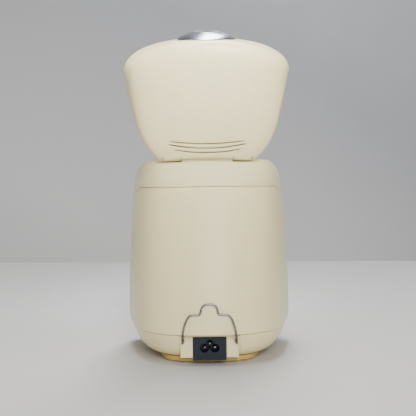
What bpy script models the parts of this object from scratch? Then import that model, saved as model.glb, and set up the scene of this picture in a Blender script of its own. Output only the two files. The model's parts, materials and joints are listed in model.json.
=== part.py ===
"""A compact countertop cooker, standing with its flip-up lid open.

Every size is in millimetres. A place is given as (x, depth, z): x to the right
of someone who faces the front, depth forward from the rear face of the body,
z up from the table. The front of the cooker looks along -Y.
The lid's pieces are drawn in the closed position and turned open about the hinge.
"""
import math

import bmesh
import bpy
from mathutils import Matrix, Vector

MM = 0.001
GAP = 0.3  # between pieces that touch

# ---- Driving dimensions -------------------------------------------------
REAR_Y = 71.75  # y of the rear face, which centres the open cooker on the origin
WALL = 2.6

HALF_WIDTH = 88.0  # of the body where it is widest
WIDEST_Z = 45.0
BODY_DEPTH = 163.0
TAPER_HEIGHT = 136.0  # over which the sides draw in
SIDE_TAPER = 9.7
REAR_TAPER = 3.0
FRONT_LEAN = 0.278  # forward per unit of height

BASE_SEAM_Z = 30.0
COLLAR_SEAM_Z = 171.6
SEAM_DROP = 4.4  # by which the collar seam steps down at the sides
SEAM_STEP = (66.0, 86.0)  # depth over which it does
PAN_FLOOR_Z = 6.5

PARTING_REAR_Z = 198.0  # the plane between collar and lid: level near the hinge,
PARTING_START_Z = 206.0  # then sloping down towards the front
PARTING_SLOPE = 0.245

HINGE_DEPTH = 12.0
HINGE_Z = 202.0
OPEN_DEGREES = 92.0
PIN_RADIUS = 2.0
TONGUE_HALF = 23.3
TONGUE_RADIUS = 5.6
KNUCKLE_RADIUS = 4.8
KNUCKLE_INNER = 25.6
KNUCKLE_OUTER = 41.0
SHELF_Z = 195.2  # top of the collar under the hinge

LID_OVERHANG = 2.3
LID_FRONT_OVERHANG = 0.0
LID_REAR_DEPTH = 6.5
LID_TOP_REAR_Z = 211.8
LID_TOP_SLOPE = 0.16
LID_TOP_ARCH = 5.0  # rise of the lid's back over a straight line from rear to front
LID_CROWN = 3.0  # fall of the lid's back towards its sides
LID_WALL = 2.5

BUTTON_LEAN = math.radians(12.8)
BUTTON_DEPTH = 123.6
BUTTON_Z = 197.5
BUTTON_RING_RADIUS = 27.6
BUTTON_RADIUS = 15.0
DOME_RADIUS = 52.73
DOME_HEIGHT = 7.8

POT_DEPTH = 68.6
POT_RADIUS = 47.5
POT_RIM_RADIUS = 49.4
POT_RIM_Z = 169.6
POT_BOTTOM_Z = 60.0

INLET_HALF = 16.1
INLET_TOP_Z = 26.9
INLET_LIP_Z = 4.8  # lower edge of the socket's front part, below the pan
INLET_FACE_DEPTH = 9.6
BAY_HALF = 27.2
BAY_BACK_DEPTH = 11.0
BAY_FLOOR_Z = 7.4
BAY_WALL = 1.8

BAIL_WIRE = 0.9
BAIL_PIVOT_DEPTH = 9.6
BAIL_PIVOT_Z = 21.5

PANEL_Z = 112.0
PANEL_HALF = (31.0, 21.0)
PANEL_LEAN = math.atan(FRONT_LEAN)

BUTTON_KEYS = (("menu_button", -18.0), ("start_button", 0.0), ("timer_button", 18.0))
KEY_RADIUS = 5.4
KEY_ROW = -9.5
DISPLAY_HALF = (22.0, 7.5)
DISPLAY_ROW = 8.0

LOBE_RADIUS = 4.4  # of the inlet's trefoil well
WELL_DEPTH = 12.0
INLET_PIN_RADIUS = 1.2
PIN_SPREAD = 5.0
INLET_PIN_Z = 16.8
EARTH_PIN_Z = 20.6

COLLAR_REAR = 18.2  # depth of the well's rear wall
COLLAR_INSET = 9.5
COLLAR_FRONT_INSET = 4.2

LID_FULL_REAR = -3.0  # where the lid's outline would end without its straight rear edge
LINER_REAR = 18.8
LINER_THICK = 2.0
LINER_WELL_RADIUS = 48.0
LINER_WELL_Z = 173.6
STEAM_DEPTH = 44.0

PUSHER_END = -7.0  # inner end of the release button's stem
HOOK_THICK = 1.6
HOOK_TIP = 124.0  # depth of the hook's lip

DECK_Z = (165.0, 167.0)
SHIELD_RADIUS = 51.0
SHIELD_FLOOR_Z = 42.2
PLATE_TOP_Z = 59.2
SENSOR_RADIUS = 10.0

# Steam slots: half span, depth at the middle, depth at the ends, width.
VENT_SLOTS = ((35.0, 22.6, 25.2, 1.2), (36.5, 18.4, 22.4, 1.3), (31.0, 14.4, 17.2, 1.2))

# Sections of the pan, outside and inside: height, inset from the body's outline.
PAN_OUTSIDE = ((BASE_SEAM_Z - GAP, 1.6), (26.5, 2.5), (21.5, 4.5), (16.5, 7.0), (12.5, 9.9),
               (9.2, 13.8), (7.2, 18.4), (PAN_FLOOR_Z, 25.0))
PAN_INSIDE = ((BASE_SEAM_Z - GAP, 4.2), (21.5, 7.4), (15.0, 12.0), (11.0, 18.0), (9.2, 26.0))

# Rings of the lid from the brim up: share of the height, then how far the outline
# draws in at the sides, the front and the rear.
LID_RINGS = ((0.0, 0.0, 0.0, 0.0), (0.25, 0.9, 2.9, 0.2), (0.48, 3.0, 5.6, 1.0), (0.66, 7.0, 7.7, 3.0),
             (0.80, 13.0, 9.5, 6.5), (0.90, 22.0, 12.4, 12.0), (0.96, 34.0, 19.0, 20.0),
             (1.0, 52.0, 36.0, 34.0))
LID_INNER_RINGS = (LID_RINGS[0], LID_RINGS[2], LID_RINGS[4], LID_RINGS[6], LID_RINGS[7])

FOOT_RADIUS = 6.5
FOOT_PLACES = (("foot_rear_left", -30.0, 31.5), ("foot_rear_right", 30.0, 31.5),
               ("foot_front_left", -34.0, 131.0), ("foot_front_right", 34.0, 131.0))

# The plan of the body and the lid: right half, from the middle of the rear to the
# middle of the front, as two Bezier curves for a half width of 1 and a depth of 1.
REAR_CURVE = ((0.0, 0.0), (0.74, 0.0), (0.86, 0.218), (1.0, 0.758))
FOOT_REAR_CURVE = ((0.0, 0.0), (0.95, 0.0), (0.72, 0.12), (1.0, 0.758))
LID_REAR_CURVE = ((0.0, 0.0), (0.78, 0.0), (0.84, 0.245), (1.0, 0.758))
FRONT_CURVE = ((1.0, 0.758), (0.998, 0.869), (0.744, 1.0), (0.0, 1.0))
CURVE_STEPS = (12, 8)

# ---- Colours: red, green, blue, roughness, metallic ----------------------
CREAM = (0.80, 0.76, 0.64, 0.35, 0.0)
CREAM_LINER = (0.74, 0.71, 0.62, 0.45, 0.0)
FOOT_CREAM = (0.55, 0.43, 0.22, 0.45, 0.0)
BRUSHED = (0.62, 0.64, 0.68, 0.28, 1.0)
STEEL = (0.56, 0.55, 0.54, 0.30, 1.0)
ALUMINIUM = (0.70, 0.70, 0.70, 0.42, 1.0)
NAVY = (0.022, 0.030, 0.040, 0.40, 0.0)
BLACK = (0.02, 0.02, 0.022, 0.25, 0.0)
NON_STICK = (0.045, 0.045, 0.05, 0.50, 0.2)
RUBBER = (0.30, 0.24, 0.15, 0.85, 0.0)
SILICONE = (0.55, 0.56, 0.55, 0.60, 0.0)
BOARD_GREEN = (0.03, 0.16, 0.07, 0.50, 0.0)
LENS = (0.03, 0.04, 0.05, 0.10, 0.0)


# ---- Places and outlines -------------------------------------------------
def place(x, depth, z):
    return Vector((x, REAR_Y - depth, z))


HINGE = place(0.0, HINGE_DEPTH, HINGE_Z)


def bezier(points, steps):
    """Points along a cubic Bezier curve, both ends included."""
    result = []
    for step in range(steps + 1):
        s = step / steps
        r = 1.0 - s
        weights = (r**3, 3 * r * r * s, 3 * r * s * s, s**3)
        result.append(tuple(sum(w * p[k] for w, p in zip(weights, points)) for k in (0, 1)))
    return result


FRONT_HALF = bezier(FRONT_CURVE, CURVE_STEPS[1])[1:]
BODY_PLAN = bezier(REAR_CURVE, CURVE_STEPS[0]) + FRONT_HALF
LID_PLAN = bezier(LID_REAR_CURVE, CURVE_STEPS[0]) + FRONT_HALF
FOOT_PLAN = bezier(FOOT_REAR_CURVE, CURVE_STEPS[0]) + FRONT_HALF


def plan(half_width, rear, front, shape=BODY_PLAN):
    """The closed plan outline as (x, depth) pairs."""
    right = [(u * half_width, rear + v * (front - rear)) for u, v in shape]
    left = [(-x, depth) for x, depth in reversed(right[1:-1])]
    return right + left


def circle_plan(radius, depth):
    """A circle with one point for each point of plan(), in about the same directions."""
    result = []
    for x, v in plan(1.0, -1.0, 1.0):
        way = Vector((x, v)).normalized()
        result.append((way.x * radius, depth + way.y * radius))
    return result


def body_size(z, inset=0.0):
    """Half width, rear depth and front depth of the body's outside at a height."""
    rise = max(0.0, z - WIDEST_Z)
    draw_in = (rise / TAPER_HEIGHT) ** 1.4
    half = HALF_WIDTH - SIDE_TAPER * draw_in - inset
    return half, REAR_TAPER * draw_in + inset, BODY_DEPTH - FRONT_LEAN * rise - inset


def body_ring(z, inset=0.0):
    return [place(x, depth, z) for x, depth in plan(*body_size(z, inset))]


def parting_z(depth):
    return min(PARTING_REAR_Z, PARTING_START_Z - PARTING_SLOPE * depth)


def lid_top_z(x, depth):
    """Height of the lid's arched and crowned back."""
    along = 1.0 - (depth / 66.0 - 1.0) ** 2
    return LID_TOP_REAR_Z + LID_TOP_SLOPE * depth + LID_TOP_ARCH * along - LID_CROWN * (x / 80.0) ** 2


def seam_drop(depth):
    """How far the collar seam lies below its height at the rear."""
    start, end = SEAM_STEP
    return SEAM_DROP * min(1.0, max(0.0, (depth - start) / (end - start)))


def seam_ring(rise, inset):
    """A ring of the body near the collar seam, a rise above or below it."""
    points = []
    upper, lower = (plan(*body_size(z, inset)) for z in (COLLAR_SEAM_Z, COLLAR_SEAM_Z - SEAM_DROP))
    for (x, depth), (low_x, low_depth) in zip(upper, lower):
        drop = seam_drop(depth)
        share = drop / SEAM_DROP
        points.append(place(x + (low_x - x) * share, depth + (low_depth - depth) * share,
                            COLLAR_SEAM_Z + rise - drop))
    return points


# ---- Mesh helpers --------------------------------------------------------
def skin(rings, closed=False):
    """A mesh through rings of points; a ring of one point is a pole."""
    bm = bmesh.new()
    rows = [[bm.verts.new(p) for p in ring] for ring in rings]
    pairs = list(zip(rows, rows[1:]))
    if closed:
        pairs.append((rows[-1], rows[0]))
    for low, high in pairs:
        count = max(len(low), len(high))
        for i in range(count):
            j = (i + 1) % count
            corners = [low[i % len(low)], low[j % len(low)], high[j % len(high)], high[i % len(high)]]
            bm.faces.new(list(dict.fromkeys(corners)))
    bmesh.ops.recalc_face_normals(bm, faces=bm.faces)
    return bm


def middle_of(ring):
    """The pole that closes a ring."""
    total = Vector((0.0, 0.0, 0.0))
    for point in ring:
        total = total + point
    return [total / len(ring)]


def turned(profile, centre, segments=32, closed=False):
    """A solid of revolution about an upright axis from (radius, z) pairs."""
    rings = []
    for radius, z in profile:
        if radius == 0.0:
            rings.append([centre + Vector((0.0, 0.0, z))])
            continue
        ring = []
        for i in range(segments):
            angle = 2.0 * math.pi * i / segments
            ring.append(centre + Vector((radius * math.sin(angle), radius * math.cos(angle), z)))
        rings.append(ring)
    return skin(rings, closed)


def box(low, high):
    """A box between two corners given as (x, depth, z)."""
    bm = bmesh.new()
    bmesh.ops.create_cube(bm, size=1.0)
    a, b = place(*low), place(*high)
    size = Vector([abs(b[k] - a[k]) for k in range(3)])
    bmesh.ops.scale(bm, vec=size, verts=bm.verts)
    bmesh.ops.translate(bm, vec=(a + b) / 2.0, verts=bm.verts)
    return bm


def rounded_outline(half_x, half_y, radius, steps=5):
    """A rectangle with round corners, centred on zero."""
    result = []
    for quarter, (sx, sy) in enumerate(((1, 1), (-1, 1), (-1, -1), (1, -1))):
        for step in range(steps + 1):
            angle = math.radians(90.0 * quarter + 90.0 * step / steps)
            x = sx * (half_x - radius) + radius * math.cos(angle)
            y = sy * (half_y - radius) + radius * math.sin(angle)
            result.append((x, y))
    return result


def prism(outline, low, high):
    """An upright prism on an outline of (x, y) pairs, from low to high."""
    bm = bmesh.new()
    bottom = [bm.verts.new((x, y, low)) for x, y in outline]
    top = [bm.verts.new((x, y, high)) for x, y in outline]
    bm.faces.new(bottom)
    bm.faces.new(top)
    for i in range(len(outline)):
        j = (i + 1) % len(outline)
        bm.faces.new((bottom[i], bottom[j], top[j], top[i]))
    bmesh.ops.recalc_face_normals(bm, faces=bm.faces)
    return bm


def slab(outline, low, high):
    """An upright prism on an outline of (x, depth) pairs."""
    return prism([place(x, depth, 0.0).xy for x, depth in outline], low, high)


def cylinder_along_x(centre, radius, half_length, segments=24):
    bm = bmesh.new()
    bmesh.ops.create_cone(bm, cap_ends=True, segments=segments, radius1=radius, radius2=radius,
                          depth=2.0 * half_length, matrix=Matrix.Translation(centre)
                          @ Matrix.Rotation(math.pi / 2.0, 4, "Y"))
    return bm


def facing(centre, lean, spin=0.0):
    """A frame whose z axis points forward and up by the lean; its y axis points up."""
    turn = Matrix.Rotation(math.pi / 2.0 - lean, 4, "X")
    return Matrix.Translation(centre) @ turn @ Matrix.Rotation(spin, 4, "Z")


def moved(bm, matrix):
    bmesh.ops.transform(bm, matrix=matrix, verts=bm.verts)
    return bm


# ---- Objects and materials -----------------------------------------------
def material(name, look):
    made = bpy.data.materials.new(name)
    made.use_nodes = True
    shader = made.node_tree.nodes["Principled BSDF"]
    shader.inputs["Base Color"].default_value = (*look[:3], 1.0)
    shader.inputs["Roughness"].default_value = look[3]
    shader.inputs["Metallic"].default_value = look[4]
    made.diffuse_color = (*look[:3], 1.0)
    return made


def add(name, bm, look, origin=None, parent=None):
    """An object from a mesh in millimetres, with its origin at a place."""
    origin = origin if origin is not None else Vector((0.0, 0.0, 0.0))
    base = HINGE if parent is not None else Vector((0.0, 0.0, 0.0))
    bmesh.ops.translate(bm, vec=-origin, verts=bm.verts)
    bmesh.ops.scale(bm, vec=(MM, MM, MM), verts=bm.verts)
    mesh = bpy.data.meshes.new(name)
    bm.to_mesh(mesh)
    bm.free()
    mesh.shade_smooth()
    mesh.set_sharp_from_angle(angle=math.radians(35.0))
    mesh.materials.append(material(name, look))
    made = bpy.data.objects.new(name, mesh)
    made.location = (origin - base) * MM
    made.parent = parent
    bpy.context.scene.collection.objects.link(made)
    return made


def coil(radius, low, high, turns=4, per_turn=9):
    """Points along a compression spring about the z axis."""
    count = turns * per_turn
    points = []
    for i in range(count + 1):
        angle = 2.0 * math.pi * i / per_turn
        z = low + (high - low) * i / count
        points.append(Vector((radius * math.cos(angle), radius * math.sin(angle), z)))
    return points


def add_wire(name, points, radius, look, origin=None, parent=None, sides=2):
    """A round wire through a list of points."""
    origin = origin if origin is not None else Vector((0.0, 0.0, 0.0))
    base = HINGE if parent is not None else Vector((0.0, 0.0, 0.0))
    curve = bpy.data.curves.new(name, "CURVE")
    curve.dimensions = "3D"
    curve.bevel_depth = radius * MM
    curve.bevel_resolution = sides
    curve.use_fill_caps = True
    spline = curve.splines.new("POLY")
    spline.points.add(len(points) - 1)
    for spot, point in zip(spline.points, points):
        spot.co = (*((point - origin) * MM), 1.0)
    curve.materials.append(material(name, look))
    made = bpy.data.objects.new(name, curve)
    made.location = (origin - base) * MM
    made.parent = parent
    bpy.context.scene.collection.objects.link(made)
    return made


def boolean(target, name, bm, operation="DIFFERENCE", parent=None):
    """Cut, join or intersect an object with a helper solid."""
    helper = add(name, bm, CREAM, parent=parent)
    helper.hide_render = True
    helper.display_type = "WIRE"
    change = target.modifiers.new(name, "BOOLEAN")
    change.operation = operation
    change.solver = "EXACT"
    change.object = helper


# ---- Body ----------------------------------------------------------------
def body_shell():
    """The tapered sleeve between the base seam and the collar seam."""
    bottom = BASE_SEAM_Z + GAP
    outside = [body_ring(bottom, 0.5)] + [body_ring(z) for z in (34.0, 45.0, 62.0, 82.0, 104.0, 128.0, 152.0)]
    outside.append(seam_ring(-GAP, 0.5))
    inside = [seam_ring(-GAP, WALL)] + [body_ring(z, WALL) for z in (128.0, 82.0, 45.0, bottom)]
    shell = add("main_shell", skin(outside + inside, closed=True), CREAM)
    window = prism(rounded_outline(PANEL_HALF[0] + GAP, PANEL_HALF[1] + GAP, 9.0), -12.0, 12.0)
    boolean(shell, "panel_window_cut", moved(window, panel_frame()))


def pan_rings(profile, shrink=0.0):
    return [body_ring(z, inset + shrink) for z, inset in profile]


def pan_outside_solid():
    rings = pan_rings(PAN_OUTSIDE)
    return skin([middle_of(rings[0])] + rings + [middle_of(rings[-1])])


def base_pan():
    """The bowl that closes the body below, cut away for the inlet bay."""
    outside = pan_rings(PAN_OUTSIDE)
    inside = pan_rings(PAN_INSIDE)
    rings = [middle_of(inside[-1])] + inside[::-1] + outside + [middle_of(outside[-1])]
    pan = add("base_pan", skin(rings), CREAM)
    reach = BAY_HALF + BAY_WALL + GAP
    boolean(pan, "bay_cut", box((-reach, -10.0, 0.0), (reach, 26.3, 40.0)))


def inlet_bay():
    """The moulded recess in the rear of the pan that carries the inlet."""
    reach = BAY_HALF + BAY_WALL
    blank = box((-reach, -8.0, BAY_FLOOR_Z), (reach, 26.0, BASE_SEAM_Z - 2.0 * GAP))
    bay = add("inlet_bay", blank, CREAM)
    boolean(bay, "bay_outer_form", pan_outside_solid(), "INTERSECT")
    boolean(bay, "bay_back_block", box((-BAY_HALF - 0.9, BAY_BACK_DEPTH - 1.0, BAY_FLOOR_Z),
                                       (BAY_HALF + 0.9, 26.0, BASE_SEAM_Z - 2.4 * GAP)), "UNION")
    boolean(bay, "bay_recess_cut", box((-BAY_HALF, -9.0, 0.0), (BAY_HALF, BAY_BACK_DEPTH, 40.0)))
    boolean(bay, "inlet_hole_cut", box((-INLET_HALF - GAP, 0.0, 0.0),
                                       (INLET_HALF + GAP, 30.0, INLET_TOP_Z + GAP)))
    boolean(bay, "bail_hole_cut", cylinder_along_x(place(0.0, BAIL_PIVOT_DEPTH, BAIL_PIVOT_Z),
                                                   BAIL_WIRE + GAP + 0.1, BAY_HALF + 1.2, 16))


def pin_places():
    return (("inlet_pin_line", -PIN_SPREAD, INLET_PIN_Z),
            ("inlet_pin_neutral", PIN_SPREAD, INLET_PIN_Z),
            ("inlet_pin_earth", 0.0, EARTH_PIN_Z))


def rod_along_depth(x, z, near, far, radius, segments=16):
    """A round rod that runs forward from the near depth to the far depth."""
    centre = place(x, (near + far) / 2.0, z)
    bm = bmesh.new()
    bmesh.ops.create_cone(bm, cap_ends=True, segments=segments, radius1=radius, radius2=radius,
                          depth=far - near, matrix=Matrix.Translation(centre)
                          @ Matrix.Rotation(math.pi / 2.0, 4, "X"))
    return bm


def inlet():
    """The three-pin low-current socket, with its trefoil well."""
    block = box((-INLET_HALF, INLET_FACE_DEPTH, BAY_FLOOR_Z), (INLET_HALF, 25.8, INLET_TOP_Z))
    socket = add("inlet_socket", block, NAVY)
    lip = box((-INLET_HALF + 0.05, INLET_FACE_DEPTH + 0.02, INLET_LIP_Z), (INLET_HALF - 0.05, 20.0, 9.0))
    boolean(socket, "inlet_lip", lip, "UNION")
    well_floor = INLET_FACE_DEPTH + WELL_DEPTH
    for name, x, z in pin_places():
        boolean(socket, name + "_well_cut", rod_along_depth(x, z, 0.0, well_floor, LOBE_RADIUS, 20))
    for name, x, z in pin_places():
        hole = rod_along_depth(x, z, well_floor - 2.0, 28.0, INLET_PIN_RADIUS + GAP, 12)
        boolean(socket, name + "_hole_cut", hole)
        add(name, rod_along_depth(x, z, INLET_FACE_DEPTH + 2.0, 25.4, INLET_PIN_RADIUS, 12), STEEL)


def bail_path():
    """The bail's wire at rest against the shell, from its left pivot to its right one."""
    right = [
        (BAY_HALF + 0.9, BAIL_PIVOT_DEPTH, BAIL_PIVOT_Z), (26.2, BAIL_PIVOT_DEPTH, BAIL_PIVOT_Z),
        (25.6, 8.6, BAIL_PIVOT_Z + 1.4), (25.6, 4.0, 26.6), (25.5, -0.2, 30.6), (25.0, -1.4, 35.0),
        (23.4, -1.4, 41.0), (21.0, -1.4, 46.6), (18.4, -1.4, 49.8), (15.6, -1.4, 50.4),
        (10.0, -1.4, 50.7), (8.7, -1.4, 51.6), (8.0, -1.4, 53.8), (7.2, -1.4, 57.0),
        (5.0, -1.4, 59.4), (2.0, -1.4, 60.4),
    ]
    left = [(-x, depth, z) for x, depth, z in reversed(right)]
    return [place(*spot) for spot in rounded_path(right + left)]


def rounded_path(points):
    """The same path with its corners cut, so that it reads as a bent wire."""
    smooth = [points[0]]
    for a, b in zip(points, points[1:]):
        for share in (0.25, 0.75):
            smooth.append(tuple((1.0 - share) * a[k] + share * b[k] for k in range(3)))
    return smooth + [points[-1]]


def bail():
    pivot = place(0.0, BAIL_PIVOT_DEPTH, BAIL_PIVOT_Z)
    add_wire("plug_bail", bail_path(), BAIL_WIRE, STEEL, origin=pivot)


def foot_outline(z, inset):
    outline = plan(60.0 - inset, 21.5 + inset, 141.0 - inset, FOOT_PLAN)
    return [place(x, depth, z) for x, depth in outline]


def feet():
    """The foot ring under the pan, and four rubber pads under the ring."""
    top = PAN_FLOOR_Z - GAP
    outer = [foot_outline(z, inset) for z, inset in ((top, 0.6), (3.0, 0.0), (0.7, 0.6))]
    inner = [foot_outline(z, 15.0) for z in (0.7, top)]
    ring = add("foot_ring", skin(outer + inner, closed=True), FOOT_CREAM)
    for name, x, depth in FOOT_PLACES:
        pocket = turned(((0.0, -3.0), (FOOT_RADIUS + GAP, -3.0), (FOOT_RADIUS + GAP, 2.0), (0.0, 2.0)),
                        place(x, depth, 0.0), 20)
        boolean(ring, name + "_pocket_cut", pocket)
        profile = ((0.0, 0.0), (FOOT_RADIUS - 0.6, 0.0), (FOOT_RADIUS, 0.4), (FOOT_RADIUS, 1.7),
                   (0.0, 1.7))
        add(name, turned(profile, place(x, depth, 0.0), 20), RUBBER)


def collar_ring(height, inset, front_inset=None):
    """A ring of the collar; height gives its z at each x and depth."""
    half, rear, front = body_size(COLLAR_SEAM_Z + 12.0, inset)
    rear = COLLAR_REAR if inset > 5.0 else rear
    front = BODY_DEPTH - FRONT_LEAN * (COLLAR_SEAM_Z - WIDEST_Z) - (front_inset or inset)
    return [place(x, depth, height(x, depth)) for x, depth in plan(half, rear, front)]


def collar_low(x, depth):
    return COLLAR_SEAM_Z + GAP - seam_drop(depth)


def collar_edge(x, depth):
    """Just over the seam, above the lower edge's small chamfer."""
    return collar_low(x, depth) + 0.5


def collar_waist(x, depth):
    return collar_edge(x, depth) + (collar_top(x, depth) - collar_low(x, depth) - 1.5) * 0.55


def collar_shoulder(x, depth):
    """Where the upper edge starts to round over."""
    return collar_top(x, depth) - min(1.0, 0.2 * (collar_top(x, depth) - collar_low(x, depth)))


def collar_top(x, depth):
    return parting_z(depth) - GAP


def top_collar():
    """The ring above the body, with the hinge tongue standing on its rear shelf."""
    outside = [collar_ring(collar_low, 0.5), collar_ring(collar_edge, 0.0),
               collar_ring(collar_waist, 0.2), collar_ring(collar_shoulder, 0.7)]
    inside = [collar_ring(collar_top, 2.2), collar_ring(collar_top, COLLAR_INSET, COLLAR_FRONT_INSET),
              collar_ring(collar_low, COLLAR_INSET, COLLAR_FRONT_INSET)]
    collar = add("top_collar", skin(outside + inside, closed=True), CREAM)
    boolean(collar, "hinge_shelf_cut", box((-62.0, -10.0, SHELF_Z), (62.0, 19.0, 220.0)))
    web = box((-TONGUE_HALF, HINGE_DEPTH - TONGUE_RADIUS, SHELF_Z - 3.0),
              (TONGUE_HALF, HINGE_DEPTH + TONGUE_RADIUS, HINGE_Z))
    boolean(collar, "tongue_web", web, "UNION")
    boolean(collar, "tongue_barrel", cylinder_along_x(HINGE, TONGUE_RADIUS, TONGUE_HALF - 0.02), "UNION")
    boolean(collar, "pin_bore_cut", cylinder_along_x(HINGE, PIN_RADIUS + GAP, TONGUE_HALF + 5.0))
    window = box((-9.0, 110.0, 160.0), (9.0, front_depth(COLLAR_SEAM_Z) - WALL - 0.1, 190.0))
    boolean(collar, "latch_window_cut", window)
    slot = box((-8.0, HINGE_DEPTH - 4.2, HINGE_Z - 4.2), (8.0, 40.0, 230.0))
    boolean(collar, "spring_slot_cut", slot)


def hinge_pin():
    reach = KNUCKLE_OUTER - 1.0
    add("hinge_pin", cylinder_along_x(HINGE, PIN_RADIUS, reach, 16), STEEL)


def lid_spring():
    """The torsion spring round the pin, in the tongue's slot."""
    half_length, wire = 6.2, 0.45
    radius = PIN_RADIUS + GAP + wire + 0.25
    turns = coil(radius, -half_length, half_length, 5)
    points = [place(-half_length, HINGE_DEPTH + 6.0, HINGE_Z + radius)]
    points += [HINGE + Vector((p.z, -p.y, p.x)) for p in turns]
    points.append(place(half_length, HINGE_DEPTH + 6.0, HINGE_Z + radius))
    add_wire("lid_spring", points, wire, STEEL, sides=1)


# ---- Inside the body -----------------------------------------------------
def inner_deck():
    """The plate round the pot's mouth."""
    outer = [body_ring(z, WALL + GAP + 0.3) for z in DECK_Z]
    mouth = circle_plan(POT_RADIUS + 1.2, POT_DEPTH)
    hole = [[place(x, depth, z) for x, depth in mouth] for z in reversed(DECK_Z)]
    add("inner_deck", skin(outer + hole, closed=True), CREAM_LINER)


def pot():
    """The cooking pot: a deep bowl with a rolled rim that hangs on the deck."""
    r = POT_RADIUS
    low = POT_BOTTOM_Z
    rim_low = POT_RIM_Z - 2.2
    outside = [(0.0, low), (r - 14.0, low), (r - 6.5, low + 2.4), (r - 2.0, low + 8.0), (r, low + 17.0),
               (r, rim_low - 0.8), (r + 0.6, rim_low), (POT_RIM_RADIUS, rim_low),
               (POT_RIM_RADIUS, POT_RIM_Z)]
    inside = [(r - 1.6, POT_RIM_Z), (r - 1.6, low + 17.0), (r - 3.6, low + 9.2), (r - 8.0, low + 4.2),
              (r - 14.6, low + 2.0), (0.0, low + 2.0)]
    add("inner_pot", turned(outside + inside, place(0.0, POT_DEPTH, 0.0), 32), NON_STICK)


def heater():
    """The shield round the pot, the cast heating plate and the sprung sensor in its middle."""
    centre = place(0.0, POT_DEPTH, 0.0)
    outer, thick, rim = SHIELD_RADIUS, 0.8, DECK_Z[0] - 0.4
    shield = ((outer, rim), (outer - thick, rim), (outer - thick, SHIELD_FLOOR_Z + 1.0),
              (outer - 11.0, SHIELD_FLOOR_Z + 1.0), (outer - 11.0, SHIELD_FLOOR_Z), (outer, SHIELD_FLOOR_Z))
    add("heat_shield", turned(shield, centre, 32, closed=True), ALUMINIUM)
    top = PLATE_TOP_Z
    plate = ((SENSOR_RADIUS + 2.0, top - 0.6), (34.0, top), (43.5, top + 3.0), (44.5, top + 1.4),
             (44.5, 52.0), (40.0, 50.0), (40.0, 43.6), (36.0, 43.6), (36.0, 50.0),
             (SENSOR_RADIUS + 2.0, 50.0))
    add("heating_plate", turned(plate, centre, 32, closed=True), ALUMINIUM)
    cap = ((0.0, top + 0.5), (SENSOR_RADIUS - 1.0, top + 0.5), (SENSOR_RADIUS, top - 0.3),
           (SENSOR_RADIUS, 55.0), (3.2, 55.0), (3.2, 44.0), (0.0, 44.0))
    add("thermal_sensor", turned(cap, centre, 24), ALUMINIUM, origin=place(0.0, POT_DEPTH, 50.0))
    carrier = ((3.8, 40.0), (14.0, 40.0), (14.0, 41.4), (6.2, 41.4), (6.2, 45.0), (3.8, 45.0))
    add("sensor_carrier", turned(carrier, centre, 24, closed=True), STEEL)
    points = [centre + point for point in coil(4.6, 46.0, 51.2)]
    add_wire("sensor_spring", points, 0.4, STEEL, sides=1)


def power_board():
    """The supply board on the pan's floor, with its relay, fuse and capacitor."""
    board = add("power_board", box((-36.0, 48.0, 20.0), (36.0, 104.0, 21.6)), BOARD_GREEN)
    boolean(board, "relay_block", box((-30.0, 54.0, 21.0), (-12.0, 70.0, 35.0)), "UNION")
    boolean(board, "transformer_block", box((-2.0, 60.0, 21.0), (22.0, 84.0, 37.0)), "UNION")
    capacitor = turned(((0.0, 21.0), (5.0, 21.0), (5.0, 34.0), (0.0, 34.0)), place(-22.0, 90.0, 0.0), 16)
    boolean(board, "capacitor_block", capacitor, "UNION")
    for side, x in (("left", -38.5), ("right", 38.5)):
        rail = box((x - 1.8, 52.0, 9.6), (x + 1.8, 100.0, 24.0))
        add("board_rail_" + side, rail, CREAM_LINER)


# ---- Front panel ---------------------------------------------------------
def front_depth(z):
    return body_size(z)[2]


def panel_frame():
    """A frame on the front face: x to the right, y up the slope, z outward."""
    return facing(place(0.0, front_depth(PANEL_Z), PANEL_Z), PANEL_LEAN)


def proud_skin():
    """A solid just proud of the body's outside, which gives the panel its curve."""
    heights = (60.0, 86.0, 112.0, 138.0, 164.0)
    rings = [body_ring(z, -0.7) for z in heights]
    return skin([middle_of(rings[0])] + rings + [middle_of(rings[-1])])


def control_panel():
    """The panel in the front wall, with its display window, keys and board."""
    frame = panel_frame()
    blank = moved(prism(rounded_outline(*PANEL_HALF, 8.7), -5.5, 6.0), frame)
    panel = add("control_panel", blank, BLACK)
    boolean(panel, "panel_face_form", proud_skin(), "INTERSECT")
    display = frame @ Matrix.Translation((0.0, DISPLAY_ROW, 0.0))
    hole = prism(rounded_outline(DISPLAY_HALF[0] + GAP, DISPLAY_HALF[1] + GAP, 3.0), -10.0, 10.0)
    boolean(panel, "display_cut", moved(hole, display))
    lens = prism(rounded_outline(*DISPLAY_HALF, 2.7), -4.0, 6.0)
    window = add("display_window", moved(lens, display), LENS)
    boolean(window, "window_face_form", proud_skin(), "INTERSECT")
    for name, x in BUTTON_KEYS:
        spot = frame @ Matrix.Translation((x, KEY_ROW, 0.0))
        hole = turned(((0.0, -12.0), (KEY_RADIUS + GAP, -12.0), (KEY_RADIUS + GAP, 12.0), (0.0, 12.0)),
                      Vector((0.0, 0.0, 0.0)), 24)
        boolean(panel, name + "_cut", moved(hole, spot))
        stem = KEY_RADIUS - 1.6
        profile = ((0.0, -6.9), (stem, -6.9), (stem, -4.0), (KEY_RADIUS, -4.0), (KEY_RADIUS, 1.4),
                   (KEY_RADIUS - 0.7, 2.0), (0.0, 2.3))
        cap = moved(turned(profile, Vector((0.0, 0.0, 0.0)), 24), spot)
        add(name, cap, STEEL, origin=spot.to_translation())
    outline = rounded_outline(PANEL_HALF[0] - 3.0, PANEL_HALF[1] - 3.0, 2.0, 2)
    add("control_board", moved(prism(outline, -10.6, -9.0), frame), BOARD_GREEN)


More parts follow.
